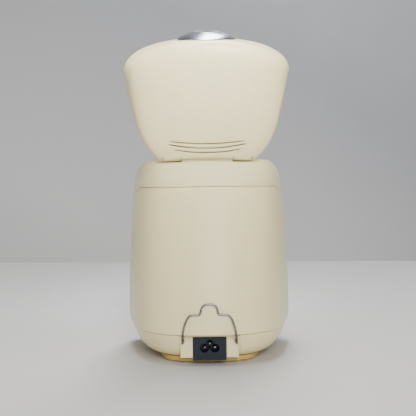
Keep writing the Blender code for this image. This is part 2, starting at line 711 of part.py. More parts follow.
def catch_plate():
    """The strike on the front wall that the latch hook goes under."""
    inner = front_depth(COLLAR_SEAM_Z) - WALL - GAP - 0.1
    plate = add("catch_plate", box((-9.0, inner - 0.6, 167.3), (9.0, inner, 171.2)), STEEL)
    boolean(plate, "catch_lip", box((-7.0, HOOK_TIP - 1.1, 169.6), (7.0, inner - 0.3, 170.9)), "UNION")


# ---- Lid -----------------------------------------------------------------
def lid_size():
    half, _, _ = body_size(COLLAR_SEAM_Z + 12.0)
    return half + LID_OVERHANG, LID_FULL_REAR, front_depth(COLLAR_SEAM_Z) + LID_FRONT_OVERHANG


def lid_ring(ring, shrink=0.0):
    share, side, front_in, rear_in = ring
    half, rear, front = lid_size()
    outline = plan(half - side - shrink, rear + rear_in + shrink, front - front_in - shrink, LID_PLAN)
    points = []
    for x, depth in outline:
        depth = max(depth, LID_REAR_DEPTH + 0.35 * rear_in + shrink)
        low = parting_z(depth) + 0.5
        high = lid_top_z(x, depth) - shrink
        points.append(place(x, depth, low + (high - low) * share))
    return points


def lid_solid(grow=0.0, skirt=0.0):
    """The lid as a full solid, grown outward and carried further down by a skirt."""
    rings = [lid_ring(ring, -grow) for ring in LID_RINGS]
    if skirt:
        rings.insert(0, [point - Vector((0.0, 0.0, skirt)) for point in rings[0]])
    return skin([middle_of(rings[0])] + rings + [middle_of(rings[-1])])


def lid_shell(pivot):
    """The domed outer cover, open below, with its steam slots and hinge notches."""
    outside = [lid_ring(ring) for ring in LID_RINGS]
    inside = [lid_ring(ring, LID_WALL) for ring in LID_INNER_RINGS]
    rings = [middle_of(outside[-1])] + outside[::-1] + inside + [middle_of(inside[-1])]
    shell = add("lid_shell", skin(rings), CREAM, parent=pivot)
    wide, narrow = KNUCKLE_OUTER + 1.2, KNUCKLE_INNER - 0.8
    deep, shallow = HINGE_DEPTH - 0.95, HINGE_DEPTH - 3.3
    right = [(narrow, shallow), (narrow, deep), (wide, deep), (wide, -10.0)]
    notch = right + [(-x, depth) for x, depth in reversed(right)]
    boolean(shell, "hinge_notch_cut", slab(notch, 190.0, 230.0), parent=pivot)
    room = box((-43.1, -10.0, 190.0), (43.1, HINGE_DEPTH + 6.2, HINGE_Z + 7.0))
    boolean(shell, "hinge_room_cut", room, parent=pivot)
    for index, slot in enumerate(VENT_SLOTS):
        boolean(shell, f"vent_{index}_cut", vent_cutter(*slot), parent=pivot)
    boolean(shell, "button_hole_cut", rod_out(BUTTON_RADIUS + 5.0, -14.0, 14.0, 32), parent=pivot)


def vent_cutter(half_span, middle, ends, width):
    """An upright curved blade, straightest at its middle."""
    steps = 12
    line = []
    for i in range(steps + 1):
        x = half_span * (2.0 * i / steps - 1.0)
        line.append((x, middle + (ends - middle) * (abs(x) / half_span) ** 2.0))
    near = [(x, depth - width / 2.0) for x, depth in line]
    far = [(x, depth + width / 2.0) for x, depth in reversed(line)]
    return slab(near + far, HINGE_Z + 3.0, HINGE_Z + 30.0)


def knuckles(pivot):
    """The two lid knuckles that turn on the pin, flush with the lid's rear."""
    for side, name in ((-1, "knuckle_left"), (1, "knuckle_right")):
        low, high = sorted((side * KNUCKLE_INNER, side * KNUCKLE_OUTER))
        block = box((low, LID_REAR_DEPTH, HINGE_Z - 3.4), (high, HINGE_DEPTH - 1.0, HINGE_Z + 10.6))
        knuckle = add(name, block, CREAM, parent=pivot)
        web = box((low + 0.05, HINGE_DEPTH - 4.0, HINGE_Z - 2.0),
                  (high - 0.05, HINGE_DEPTH + 6.0, HINGE_Z + 6.4))
        boolean(knuckle, name + "_web", web, "UNION", pivot)
        centre = HINGE + Vector(((low + high) / 2.0, 0.0, 0.0))
        barrel = cylinder_along_x(centre, KNUCKLE_RADIUS, (high - low) / 2.0 - 0.1)
        boolean(knuckle, name + "_barrel", barrel, "UNION", pivot)
        boolean(knuckle, name + "_form", lid_solid(), "INTERSECT", pivot)
        boolean(knuckle, name + "_bore_cut", cylinder_along_x(centre, PIN_RADIUS + GAP, 12.0), parent=pivot)


def liner_ring(lift):
    half, rear, front = lid_size()
    inset = LID_WALL + 0.9
    outline = plan(half - inset, rear + inset, front - inset - 0.4, LID_PLAN)
    outline = [(x, max(depth, LINER_REAR)) for x, depth in outline]
    return [place(x, depth, parting_z(depth) + 0.8 + lift) for x, depth in outline]


def liner_mouth(radius, lift):
    """Where the liner's slope meets its well."""
    return [place(x, depth, parting_z(depth) + 0.8 + lift) for x, depth in circle_plan(radius, POT_DEPTH)]


def liner_floor(radius, lift):
    return [place(x, depth, LINER_WELL_Z + lift) for x, depth in circle_plan(radius, POT_DEPTH)]


def lid_liner(pivot):
    """The plate that closes the lid below, with a well that reaches down to the pot."""
    outer, inner = LINER_WELL_RADIUS, LINER_WELL_RADIUS - LINER_THICK
    below = [liner_floor(outer, 0.0), liner_mouth(outer, 0.0), liner_ring(0.0)]
    above = [liner_ring(LINER_THICK), liner_mouth(inner, LINER_THICK), liner_floor(inner, LINER_THICK)]
    rings = [middle_of(below[0])] + below + above + [middle_of(above[-1])]
    liner = add("lid_liner", skin(rings), CREAM_LINER, parent=pivot)
    boolean(liner, "hook_slot_cut", box((-8.0, 117.6, 160.0), (8.0, 122.4, 190.0)), parent=pivot)
    hole = ((0.0, 160.0), (9.0, 160.0), (9.0, 190.0), (0.0, 190.0))
    boolean(liner, "steam_hole_cut", turned(hole, place(0.0, STEAM_DEPTH, 0.0), 20), parent=pivot)


def inner_lid(pivot):
    """The metal plate over the pot, its sealing ring and the steam valve through it."""
    centre = place(0.0, POT_DEPTH, 0.0)
    profile = ((0.0, 171.4), (38.0, 171.4), (41.0, 172.0), (46.6, 172.0), (46.6, 173.2), (40.4, 173.2),
               (37.4, 172.6), (0.0, 172.6))
    plate = add("inner_lid_plate", turned(profile, centre, 40), ALUMINIUM, parent=pivot)
    steam = place(0.0, STEAM_DEPTH, 0.0)
    hole = turned(((0.0, 165.0), (5.0, 165.0), (5.0, 180.0), (0.0, 180.0)), steam, 16)
    boolean(plate, "plate_steam_cut", hole, parent=pivot)
    seal = ((43.2, 171.6), (43.2, 170.2), (44.4, 169.9), (46.4, 169.9), (47.2, 170.6), (47.2, 171.6))
    add("pot_gasket", turned(seal, centre, 40, closed=True), SILICONE, parent=pivot)
    valve = ((3.4, 174.2), (7.6, 174.2), (7.6, 177.0), (8.4, 177.0), (8.4, 204.0), (4.2, 204.0),
             (4.2, 180.0), (3.4, 180.0))
    add("steam_valve", turned(valve, steam, 20, closed=True), CREAM_LINER, parent=pivot)


def button_frame():
    """A frame on the lid's front wall, its z axis outward along the button's travel."""
    return facing(place(0.0, BUTTON_DEPTH, BUTTON_Z), BUTTON_LEAN)


def rod_out(radius, low, high, segments):
    """A round rod along the button's travel."""
    profile = ((0.0, low), (radius, low), (radius, high), (0.0, high))
    return moved(turned(profile, Vector((0.0, 0.0, 0.0)), segments), button_frame())


def dome_z(radius):
    """Height of the dome over its rim plane at a distance from its axis."""
    return DOME_HEIGHT - DOME_RADIUS + math.sqrt(DOME_RADIUS**2 - radius**2)


def release_button(pivot):
    """The brushed dome at the front of the lid: a fixed ring round a sprung button with its hook."""
    frame = button_frame()
    outer, inner = BUTTON_RING_RADIUS, BUTTON_RADIUS + GAP + 0.1
    centre = Vector((0.0, 0.0, 0.0))
    steps = [outer - (outer - inner) * i / 5.0 for i in range(1, 6)]
    profile = [(outer, -12.0), (outer, 0.0), (outer - 0.3, dome_z(outer) + 0.2)]
    profile += [(r, dome_z(r)) for r in steps] + [(inner, -12.0)]
    ring_mesh = moved(turned(profile, centre, 48, closed=True), frame)
    ring = add("button_trim_ring", ring_mesh, BRUSHED, parent=pivot)
    boolean(ring, "ring_seat_cut", lid_solid(GAP, 14.0), parent=pivot)
    cap = [(r, dome_z(r)) for r in (0.0, 5.0, 10.0, BUTTON_RADIUS - 0.5)]
    cap += [(BUTTON_RADIUS, dome_z(BUTTON_RADIUS) - 0.5), (BUTTON_RADIUS, -4.0), (4.0, -4.0),
            (4.0, PUSHER_END), (0.0, PUSHER_END)]
    add("release_button", moved(turned(cap, centre, 40), frame), BRUSHED,
        origin=frame.to_translation(), parent=pivot)
    latch_hook(pivot, frame)
    housing = ((0.0, -17.0), (11.8, -17.0), (11.8, -7.2), (13.4, -7.2), (13.4, -18.4), (0.0, -18.4))
    cup = add("button_housing", moved(turned(housing, centre, 32), frame), CREAM_LINER, parent=pivot)
    boolean(cup, "housing_form", lid_solid(-0.5), "INTERSECT", pivot)
    slot = prism(((-7.2, -20.0), (7.2, -20.0), (7.2, 3.0), (-7.2, 3.0)), PUSHER_END - 7.2, 2.0)
    boolean(cup, "hook_passage_cut", moved(slot, frame), parent=pivot)
    points = [frame @ point for point in coil(5.2, -16.2, -10.0)]
    add_wire("button_spring", points, 0.45, STEEL, parent=pivot, sides=1)


def latch_hook(pivot, frame):
    """The strap behind the button, bent forward and down to a lip that goes under the strike."""
    top = PUSHER_END - GAP
    strap = prism(((-6.0, -14.4), (6.0, -14.4), (6.0, 5.0), (-6.0, 5.0)), top - HOOK_THICK, top)
    latch = add("latch_hook", moved(strap, frame), STEEL, origin=frame.to_translation(), parent=pivot)
    boolean(latch, "hook_step", box((-5.9, 117.0, 181.8), (5.9, 121.8, 183.4)), "UNION", pivot)
    boolean(latch, "hook_leg", box((-5.8, 120.6, 167.9), (5.8, 121.7, 183.0)), "UNION", pivot)
    boolean(latch, "hook_lip", box((-5.7, 121.2, 167.95), (5.7, HOOK_TIP, 169.2)), "UNION", pivot)


def main():
    for old in list(bpy.data.objects):
        bpy.data.objects.remove(old, do_unlink=True)
    pivot = bpy.data.objects.new("lid_pivot", None)
    pivot.location = HINGE * MM
    pivot.rotation_euler = (-math.radians(OPEN_DEGREES), 0.0, 0.0)
    bpy.context.scene.collection.objects.link(pivot)
    body_shell()
    base_pan()
    inlet_bay()
    inlet()
    bail()
    feet()
    top_collar()
    hinge_pin()
    lid_spring()
    inner_deck()
    pot()
    heater()
    power_board()
    control_panel()
    catch_plate()
    lid_shell(pivot)
    knuckles(pivot)
    lid_liner(pivot)
    inner_lid(pivot)
    release_button(pivot)
    bpy.context.view_layer.update()


main()
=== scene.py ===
"""Looks of a compact countertop cooker, seen from behind with its lid standing open.

Shapes are drawn in millimetres. A place is (x, depth, z): x to the right of someone
who faces the front, depth forward from the body's rear face, z up from the table.
The lid's pieces are drawn closed and turned open about the hinge.
"""
import json
import math

import bmesh
import bpy
from mathutils import Matrix, Vector


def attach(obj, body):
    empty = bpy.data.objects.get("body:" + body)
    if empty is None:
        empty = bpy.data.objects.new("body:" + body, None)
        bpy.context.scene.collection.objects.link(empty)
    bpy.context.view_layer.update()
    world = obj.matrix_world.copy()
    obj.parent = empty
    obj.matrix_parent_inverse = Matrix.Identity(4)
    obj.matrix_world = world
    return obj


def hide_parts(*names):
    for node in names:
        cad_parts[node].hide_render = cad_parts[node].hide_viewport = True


MM = 0.001
GAP = 0.3

# ---- Dimensions shared with the solids -----------------------------------
REAR_Y = 71.75
WALL = 2.6
HALF_WIDTH, WIDEST_Z, BODY_DEPTH = 88.0, 45.0, 163.0
TAPER_HEIGHT, SIDE_TAPER, REAR_TAPER, FRONT_LEAN = 136.0, 9.7, 3.0, 0.278
BASE_SEAM_Z, COLLAR_SEAM_Z, PAN_FLOOR_Z = 30.0, 171.6, 6.5
SEAM_DROP, SEAM_STEP, SEAM_LAG, SEAM_BLEND_Z = 4.4, (44.0, 60.0), 3.0, 158.0
PARTING_REAR_Z, PARTING_START_Z, PARTING_SLOPE = 198.0, 206.0, 0.245

HINGE_DEPTH, HINGE_Z, OPEN_DEGREES = 12.0, 202.0, 92.0
PIN_RADIUS, TONGUE_HALF, TONGUE_RADIUS = 2.0, 23.3, 5.6
KNUCKLE_INNER, KNUCKLE_OUTER, KNUCKLE_RADIUS, SHELF_Z = 25.6, 41.0, 4.8, 195.2

LID_OVERHANG, LID_REAR_DEPTH, LID_FULL_REAR = 2.3, 6.5, -3.0
LID_TOP_REAR_Z, LID_TOP_SLOPE, LID_TOP_ARCH, LID_CROWN, LID_WALL = 211.8, 0.16, 5.0, 3.0, 2.5
LINER_REAR, LINER_THICK, LINER_WELL_RADIUS, LINER_WELL_Z = 18.8, 2.0, 48.0, 173.6
STEAM_DEPTH = 44.0

BUTTON_LEAN, BUTTON_DEPTH, BUTTON_Z = math.radians(12.8), 123.6, 197.5
BUTTON_RING_RADIUS, BUTTON_RADIUS, DOME_RADIUS, DOME_HEIGHT = 27.6, 15.0, 52.73, 7.8
PUSHER_END = -7.0

POT_DEPTH, POT_RADIUS, POT_RIM_RADIUS, POT_RIM_Z, POT_BOTTOM_Z = 68.6, 47.5, 49.4, 169.6, 60.0
DECK_Z = (165.0, 167.0)
COLLAR_REAR, COLLAR_INSET, COLLAR_FRONT_INSET = 18.2, 9.5, 4.2

INLET_HALF, INLET_TOP_Z, INLET_LIP_Z, INLET_FACE_DEPTH = 16.1, 26.9, 4.8, 9.6
BAY_HALF, BAY_BACK_DEPTH, BAY_FLOOR_Z, BAY_WALL = 27.2, 11.0, 7.4, 1.8
LOBE_RADIUS, WELL_DEPTH, INLET_PIN_RADIUS = 4.4, 12.0, 1.2
PIN_PLACES = (("inlet_pin_line", -5.0, 16.8), ("inlet_pin_neutral", 5.0, 16.8),
              ("inlet_pin_earth", 0.0, 20.6))
BAIL_WIRE, BAIL_PIVOT_DEPTH, BAIL_PIVOT_Z = 0.9, 9.6, 21.5

PANEL_Z, PANEL_HALF, PANEL_LEAN = 112.0, (31.0, 21.0), math.atan(FRONT_LEAN)
KEYS = (("menu_button", "menu_key", -18.0), ("start_button", "start_key", 0.0),
        ("timer_button", "timer_key", 18.0))
KEY_RADIUS, KEY_ROW, DISPLAY_HALF, DISPLAY_ROW = 5.4, -9.5, (22.0, 7.5), 8.0

REAR_CURVE = ((0.0, 0.0), (0.74, 0.0), (0.86, 0.218), (1.0, 0.758))
FOOT_REAR_CURVE = ((0.0, 0.0), (0.95, 0.0), (0.72, 0.12), (1.0, 0.758))
LID_REAR_CURVE = ((0.0, 0.0), (0.78, 0.0), (0.84, 0.245), (1.0, 0.758))
FRONT_CURVE = ((1.0, 0.758), (0.998, 0.869), (0.744, 1.0), (0.0, 1.0))
CURVE_STEPS = (44, 28)

PAN_OUTSIDE = ((29.7, 1.9), (29.2, 1.6), (26.5, 2.5), (21.5, 4.5), (16.5, 7.0), (12.5, 9.9), (9.2, 13.8),
               (7.2, 18.4), (6.5, 25.0))
PAN_INSIDE = ((29.7, 4.2), (21.5, 7.4), (15.0, 12.0), (11.0, 18.0), (9.2, 26.0))
LID_RINGS = ((0.0, 0.0, 0.0, 0.0), (0.25, 0.9, 2.9, 0.2), (0.48, 3.0, 5.6, 1.0), (0.66, 7.0, 7.7, 3.0),
             (0.80, 13.0, 9.5, 6.5), (0.90, 22.0, 12.4, 12.0), (0.96, 34.0, 19.0, 20.0),
             (1.0, 52.0, 36.0, 34.0), (1.0, 62.0, 46.0, 44.0), (1.0, 72.0, 55.0, 54.0))
VENT_SLOTS = ((35.0, 22.6, 25.2, 1.2), (36.5, 18.4, 22.4, 1.3), (31.0, 14.4, 17.2, 1.2))
GROOVE_DEPTH, GROOVE_EXTRA, SLOT_SHARE = 0.7, 0.5, 0.7
SOFT_EDGE = ((0.0, 0.75), (0.12, 0.42), (0.38, 0.15), (0.8, 0.0))

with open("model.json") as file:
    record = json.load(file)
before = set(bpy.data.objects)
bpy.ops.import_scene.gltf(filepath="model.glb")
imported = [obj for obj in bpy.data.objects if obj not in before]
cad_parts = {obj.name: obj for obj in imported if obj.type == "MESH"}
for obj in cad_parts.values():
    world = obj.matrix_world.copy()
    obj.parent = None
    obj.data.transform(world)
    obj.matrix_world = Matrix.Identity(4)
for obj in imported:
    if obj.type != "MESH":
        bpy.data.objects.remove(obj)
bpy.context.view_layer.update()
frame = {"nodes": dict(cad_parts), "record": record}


# ---- Outlines ------------------------------------------------------------
def place(x, depth, z):
    return Vector((x, REAR_Y - depth, z))


HINGE = place(0.0, HINGE_DEPTH, HINGE_Z)
ORIGIN = Vector((0.0, 0.0, 0.0))


def bezier(points, steps):
    result = []
    for step in range(steps + 1):
        s = step / steps
        r = 1.0 - s
        weights = (r**3, 3 * r * r * s, 3 * r * s * s, s**3)
        result.append(tuple(sum(w * p[k] for w, p in zip(weights, points)) for k in (0, 1)))
    return result


FRONT_HALF = bezier(FRONT_CURVE, CURVE_STEPS[1])[1:]
BODY_PLAN = bezier(REAR_CURVE, CURVE_STEPS[0]) + FRONT_HALF
LID_PLAN = bezier(LID_REAR_CURVE, CURVE_STEPS[0]) + FRONT_HALF
FOOT_PLAN = bezier(FOOT_REAR_CURVE, CURVE_STEPS[0]) + FRONT_HALF


def plan(half_width, rear, front, shape=BODY_PLAN):
    right = [(u * half_width, rear + v * (front - rear)) for u, v in shape]
    return right + [(-x, depth) for x, depth in reversed(right[1:-1])]


def circle_plan(radius, depth):
    result = []
    for x, v in plan(1.0, -1.0, 1.0):
        way = Vector((x, v)).normalized()
        result.append((way.x * radius, depth + way.y * radius))
    return result


def smooth_rows(rows, steps):
    """Rows of numbers joined by a Catmull-Rom curve, steps per gap."""
    result = []
    for i in range(len(rows) - 1):
        a, b = rows[max(i - 1, 0)], rows[i]
        c, d = rows[i + 1], rows[min(i + 2, len(rows) - 1)]
        for k in range(steps):
            s = k / steps
            result.append(tuple(
                0.5 * (2 * q + (r - p) * s + (2 * p - 5 * q + 4 * r - t) * s * s
                       + (3 * q - p - 3 * r + t) * s**3)
                for p, q, r, t in zip(a, b, c, d)))
    return result + [tuple(rows[-1])]


def body_size(z, inset=0.0):
    rise = max(0.0, z - WIDEST_Z)
    draw_in = (rise / TAPER_HEIGHT) ** 1.4
    half = HALF_WIDTH - SIDE_TAPER * draw_in - inset
    return half, REAR_TAPER * draw_in + inset, BODY_DEPTH - FRONT_LEAN * rise - inset


def body_ring(z, inset=0.0):
    return [place(x, depth, z) for x, depth in plan(*body_size(z, inset))]


def front_depth(z):
    return body_size(z)[2]


def parting_z(depth):
    return min(PARTING_REAR_Z, PARTING_START_Z - PARTING_SLOPE * depth)


def lid_top_z(x, depth):
    along = 1.0 - (depth / 66.0 - 1.0) ** 2
    return LID_TOP_REAR_Z + LID_TOP_SLOPE * depth + LID_TOP_ARCH * along - LID_CROWN * (x / 80.0) ** 2


def seam_drop(depth):
    """How far the collar seam lies below its height at the rear."""
    start, end = SEAM_STEP
    share = min(1.0, max(0.0, (depth - start) / (end - start)))
    return SEAM_DROP * share * share * (3.0 - 2.0 * share)


# ---- Mesh helpers --------------------------------------------------------
def skin(rings, closed=False):
    """A mesh through rings of points; a ring of one point is a pole."""
    bm = bmesh.new()
    rows = [[bm.verts.new(p) for p in ring] for ring in rings]
    pairs = list(zip(rows, rows[1:]))
    if closed:
        pairs.append((rows[-1], rows[0]))
    for low, high in pairs:
        count = max(len(low), len(high))
        for i in range(count):
            j = (i + 1) % count
            corners = [low[i % len(low)], low[j % len(low)], high[j % len(high)], high[i % len(high)]]
            bm.faces.new(list(dict.fromkeys(corners)))
    bmesh.ops.recalc_face_normals(bm, faces=bm.faces)
    return bm


def middle_of(ring):
    return [sum(ring, ORIGIN) / len(ring)]


def turned(profile, centre=ORIGIN, segments=96, closed=False):
    """A solid of revolution about an upright axis from (radius, z) pairs."""
    rings = []
    for radius, z in profile:
        if radius == 0.0:
            rings.append([centre + Vector((0.0, 0.0, z))])
            continue
        ring = []
        for i in range(segments):
            angle = 2.0 * math.pi * i / segments
            ring.append(centre + Vector((radius * math.sin(angle), radius * math.cos(angle), z)))
        rings.append(ring)
    return skin(rings, closed)


def box(low, high):
    """A box between two corners given as (x, depth, z)."""
    bm = bmesh.new()
    bmesh.ops.create_cube(bm, size=1.0)
    a, b = place(*low), place(*high)
    bmesh.ops.scale(bm, vec=Vector([abs(b[k] - a[k]) for k in range(3)]), verts=bm.verts)
    bmesh.ops.translate(bm, vec=(a + b) / 2.0, verts=bm.verts)
    return bm


def rounded_outline(half_x, half_y, radius, steps=12):
    result = []
    for quarter, (sx, sy) in enumerate(((1, 1), (-1, 1), (-1, -1), (1, -1))):
        for step in range(steps + 1):
            angle = math.radians(90.0 * quarter + 90.0 * step / steps)
            x = sx * (half_x - radius) + radius * math.cos(angle)
            y = sy * (half_y - radius) + radius * math.sin(angle)
            result.append((x, y))
    return result


def prism(outline, low, high):
    bm = bmesh.new()
    bottom = [bm.verts.new((x, y, low)) for x, y in outline]
    top = [bm.verts.new((x, y, high)) for x, y in outline]
    bm.faces.new(bottom)
    bm.faces.new(top)
    for i in range(len(outline)):
        j = (i + 1) % len(outline)
        bm.faces.new((bottom[i], bottom[j], top[j], top[i]))
    bmesh.ops.recalc_face_normals(bm, faces=bm.faces)
    return bm


def slab(outline, low, high):
    return prism([place(x, depth, 0.0).xy for x, depth in outline], low, high)


def rod(centre, axis, radius, half_length, segments=64):
    """A round rod whose length runs along the "X" or "Y" axis."""
    turn = Matrix.Rotation(math.pi / 2.0, 4, "Y" if axis == "X" else "X")
    bm = bmesh.new()
    bmesh.ops.create_cone(bm, cap_ends=True, segments=segments, radius1=radius, radius2=radius,
                          depth=2.0 * half_length, matrix=Matrix.Translation(centre) @ turn)
    return bm


def rod_along_depth(x, z, near, far, radius, segments=48):
    return rod(place(x, (near + far) / 2.0, z), "Y", radius, (far - near) / 2.0, segments)


def moved(bm, matrix):
    bmesh.ops.transform(bm, matrix=matrix, verts=bm.verts)
    return bm


def facing(centre, lean):
    """A frame whose z axis points forward and up by the lean; its y axis points up."""
    return Matrix.Translation(centre) @ Matrix.Rotation(math.pi / 2.0 - lean, 4, "X")


def in_metres(matrix):
    result = matrix.copy()
    result.translation = matrix.translation * MM
    return result


SWING = Matrix.Rotation(-math.radians(OPEN_DEGREES), 4, "X")
OPEN = in_metres(Matrix.Translation(HINGE) @ SWING @ Matrix.Translation(-HINGE))


# ---- Materials -----------------------------------------------------------
class Look:
    """A Principled material whose colour, roughness and relief come from noise in object space."""

    def __init__(self, name, base, metallic=0.0, **fixed):
        self.material = bpy.data.materials.new(name)
        self.material.use_nodes = True
        self.nodes = self.material.node_tree.nodes
        self.links = self.material.node_tree.links
        self.shader = self.nodes["Principled BSDF"]
        self.shader.inputs["Base Color"].default_value = (*base, 1.0)
        self.shader.inputs["Metallic"].default_value = metallic
        for key, value in fixed.items():
            self.shader.inputs[key.replace("_", " ")].default_value = value
        self.material.diffuse_color = (*base, 1.0)
        self.place = self.nodes.new("ShaderNodeTexCoord").outputs["Object"]
        self.base = base
        self.height = None

    def noise(self, size_mm, detail=3.0, stretch=(1.0, 1.0, 1.0), source=None):
        """Noise with features of about a size; stretch lengthens them along an axis."""
        mapping = self.nodes.new("ShaderNodeMapping")
        mapping.inputs["Scale"].default_value = tuple(1.0 / s for s in stretch)
        texture = self.nodes.new("ShaderNodeTexNoise")
        texture.inputs["Scale"].default_value = 1.0 / (size_mm * MM)
        texture.inputs["Detail"].default_value = detail
        self.links.new(source or self.place, mapping.inputs["Vector"])
        self.links.new(mapping.outputs["Vector"], texture.inputs["Vector"])
        return texture.outputs["Fac"]

    def rings(self, size_mm):
        """Noise in fine rings about the object's own z axis."""
        flat = self.nodes.new("ShaderNodeVectorMath")
        flat.operation = "MULTIPLY"
        flat.inputs[1].default_value = (1.0, 1.0, 0.0)
        length = self.nodes.new("ShaderNodeVectorMath")
        length.operation = "LENGTH"
        texture = self.nodes.new("ShaderNodeTexNoise")
        texture.noise_dimensions = "1D"
        texture.inputs["Scale"].default_value = 1.0 / (size_mm * MM)
        texture.inputs["Detail"].default_value = 4.0
        self.links.new(self.place, flat.inputs[0])
        self.links.new(flat.outputs[0], length.inputs[0])
        self.links.new(length.outputs["Value"], texture.inputs["W"])
        return texture.outputs["Fac"]

    def slope(self, way, start, end):
        """Rises from 0.3 to 0.7 between two distances along a direction."""
        along = self.nodes.new("ShaderNodeVectorMath")
        along.operation = "DOT_PRODUCT"
        along.inputs[1].default_value = way
        ramp = self.nodes.new("ShaderNodeMapRange")
        for key, value in (("From Min", start), ("From Max", end), ("To Min", 0.3), ("To Max", 0.7)):
            ramp.inputs[key].default_value = value
        self.links.new(self.place, along.inputs[0])
        self.links.new(along.outputs["Value"], ramp.inputs["Value"])
        return ramp.outputs["Result"]

    def spread(self, value, low, high):
        """A value between 0.3 and 0.7 spread over a range."""
        ramp = self.nodes.new("ShaderNodeMapRange")
        ramp.inputs["From Min"].default_value = 0.3
        ramp.inputs["From Max"].default_value = 0.7
        ramp.inputs["To Min"].default_value = low
        ramp.inputs["To Max"].default_value = high
        self.links.new(value, ramp.inputs["Value"])
        return ramp.outputs["Result"]

    def tint(self, value, other, amount=1.0):
        """Mixes the colour towards another where the value is high."""
        mix = self.nodes.new("ShaderNodeMix")
        mix.data_type = "RGBA"
        socket = self.shader.inputs["Base Color"]
        if socket.is_linked:
            self.links.new(socket.links[0].from_socket, mix.inputs["A"])
        else:
            mix.inputs["A"].default_value = (*self.base, 1.0)
        mix.inputs["B"].default_value = (*other, 1.0)
        self.links.new(self.spread(value, 0.0, amount), mix.inputs["Factor"])
        self.links.new(mix.outputs["Result"], socket)
        return self

    def rough(self, value, low, high):
        self.links.new(self.spread(value, low, high), self.shader.inputs["Roughness"])
        return self

    def relief(self, value, depth_mm, strength=1.0):
        bump = self.nodes.new("ShaderNodeBump")
        bump.inputs["Strength"].default_value = strength
        bump.inputs["Distance"].default_value = depth_mm * MM
        self.links.new(value, bump.inputs["Height"])
        if self.height is not None:
            self.links.new(self.height, bump.inputs["Normal"])
        self.height = bump.outputs["Normal"]
        self.links.new(self.height, self.shader.inputs["Normal"])
        return self


def cream(name, base, shade, gloss):
    """Moulded satin plastic: faint cloudiness, fine mottling and orange peel."""
    look = Look(name, base, IOR=1.47)
    look.tint(look.noise(70.0), shade, 0.55)
    look.tint(look.noise(2.4, 6.0), tuple(0.94 * c for c in base), 0.25)
    look.rough(look.noise(60.0, 1.0), *gloss)
    look.relief(look.noise(1.5, 2.0), 0.003, 0.5)
    return look.relief(look.noise(28.0, 1.0), 0.04, 0.3)


def metal(name, base, grain_mm, stretch, gloss, depth_mm=0.01):
    """Drawn or cast metal, by how far its grain is stretched."""
    look = Look(name, base, 1.0)
    grain = look.noise(grain_mm, 4.0, stretch)
    look.tint(grain, tuple(0.8 * c for c in base), 0.5)
    look.rough(grain, *gloss)
    return look.relief(grain, depth_mm, 0.6)


def spun(name, base, ring_mm, gloss, depth_mm, aniso):
    """Metal turned on a lathe: fine rings, with the long highlight they give."""
    look = Look(name, base, 1.0, Anisotropic=aniso)
    tangent = look.nodes.new("ShaderNodeTangent")
    tangent.direction_type = "RADIAL"
    tangent.axis = "Z"
    look.links.new(tangent.outputs["Tangent"], look.shader.inputs["Tangent"])
    rings = look.rings(ring_mm)
    look.tint(rings, tuple(0.72 * c for c in base), 0.6)
    look.rough(rings, *gloss)
    return look.relief(rings, depth_mm, 0.5)


def dark_plastic(name, base, pale, gloss, grain_mm, **fixed):
    """Grained plastic or rubber with paler clouds."""
    look = Look(name, base, **fixed)
    look.tint(look.noise(grain_mm * 8.0, 5.0), pale, 0.35)
    look.rough(look.noise(grain_mm * 4.0), *gloss)
    return look.relief(look.noise(grain_mm, 2.0), 0.02, 0.5)


def speckled(name, base, fleck, gloss):
    """Non-stick coating: fine pale flecks in a dark ground."""
    look = Look(name, base, 0.15)
    look.tint(look.noise(0.9, 8.0), fleck, 0.5)
    look.rough(look.noise(3.0), *gloss)
    return look.relief(look.noise(0.7), 0.01, 0.5)


def board(name):
    """Lacquered circuit board with tracks under the lacquer."""
    look = Look(name, (0.02, 0.13, 0.05), Coat_Weight=0.4)
    tracks = look.nodes.new("ShaderNodeTexBrick")
    tracks.inputs["Scale"].default_value = 160.0
    tracks.inputs["Mortar Size"].default_value = 0.08
    look.links.new(look.place, tracks.inputs["Vector"])
    look.tint(tracks.outputs["Fac"], (0.07, 0.26, 0.10), 0.7)
    look.tint(look.noise(4.0), (0.012, 0.08, 0.03), 0.4)
    look.rough(look.noise(5.0), 0.3, 0.5)
    return look.relief(tracks.outputs["Fac"], 0.05, 0.5)


def ground(name, base, other, size_mm, painted_shade=None):
    """Matt table or wall; painted_shade is the painted shade colour it darkens to towards the top right of
    the camera's view.
    """
    look = Look(name, base)
    look.tint(look.noise(size_mm), other, 0.6)
    if painted_shade:
        # painted shade: the wall darkens towards the top right of the view
        look.tint(look.slope((-0.5, 0.0, 0.85), -0.05, 0.45), painted_shade)
    look.rough(look.noise(60.0), 0.5, 0.62)
    return look.relief(look.noise(1.2), 0.02, 0.3)


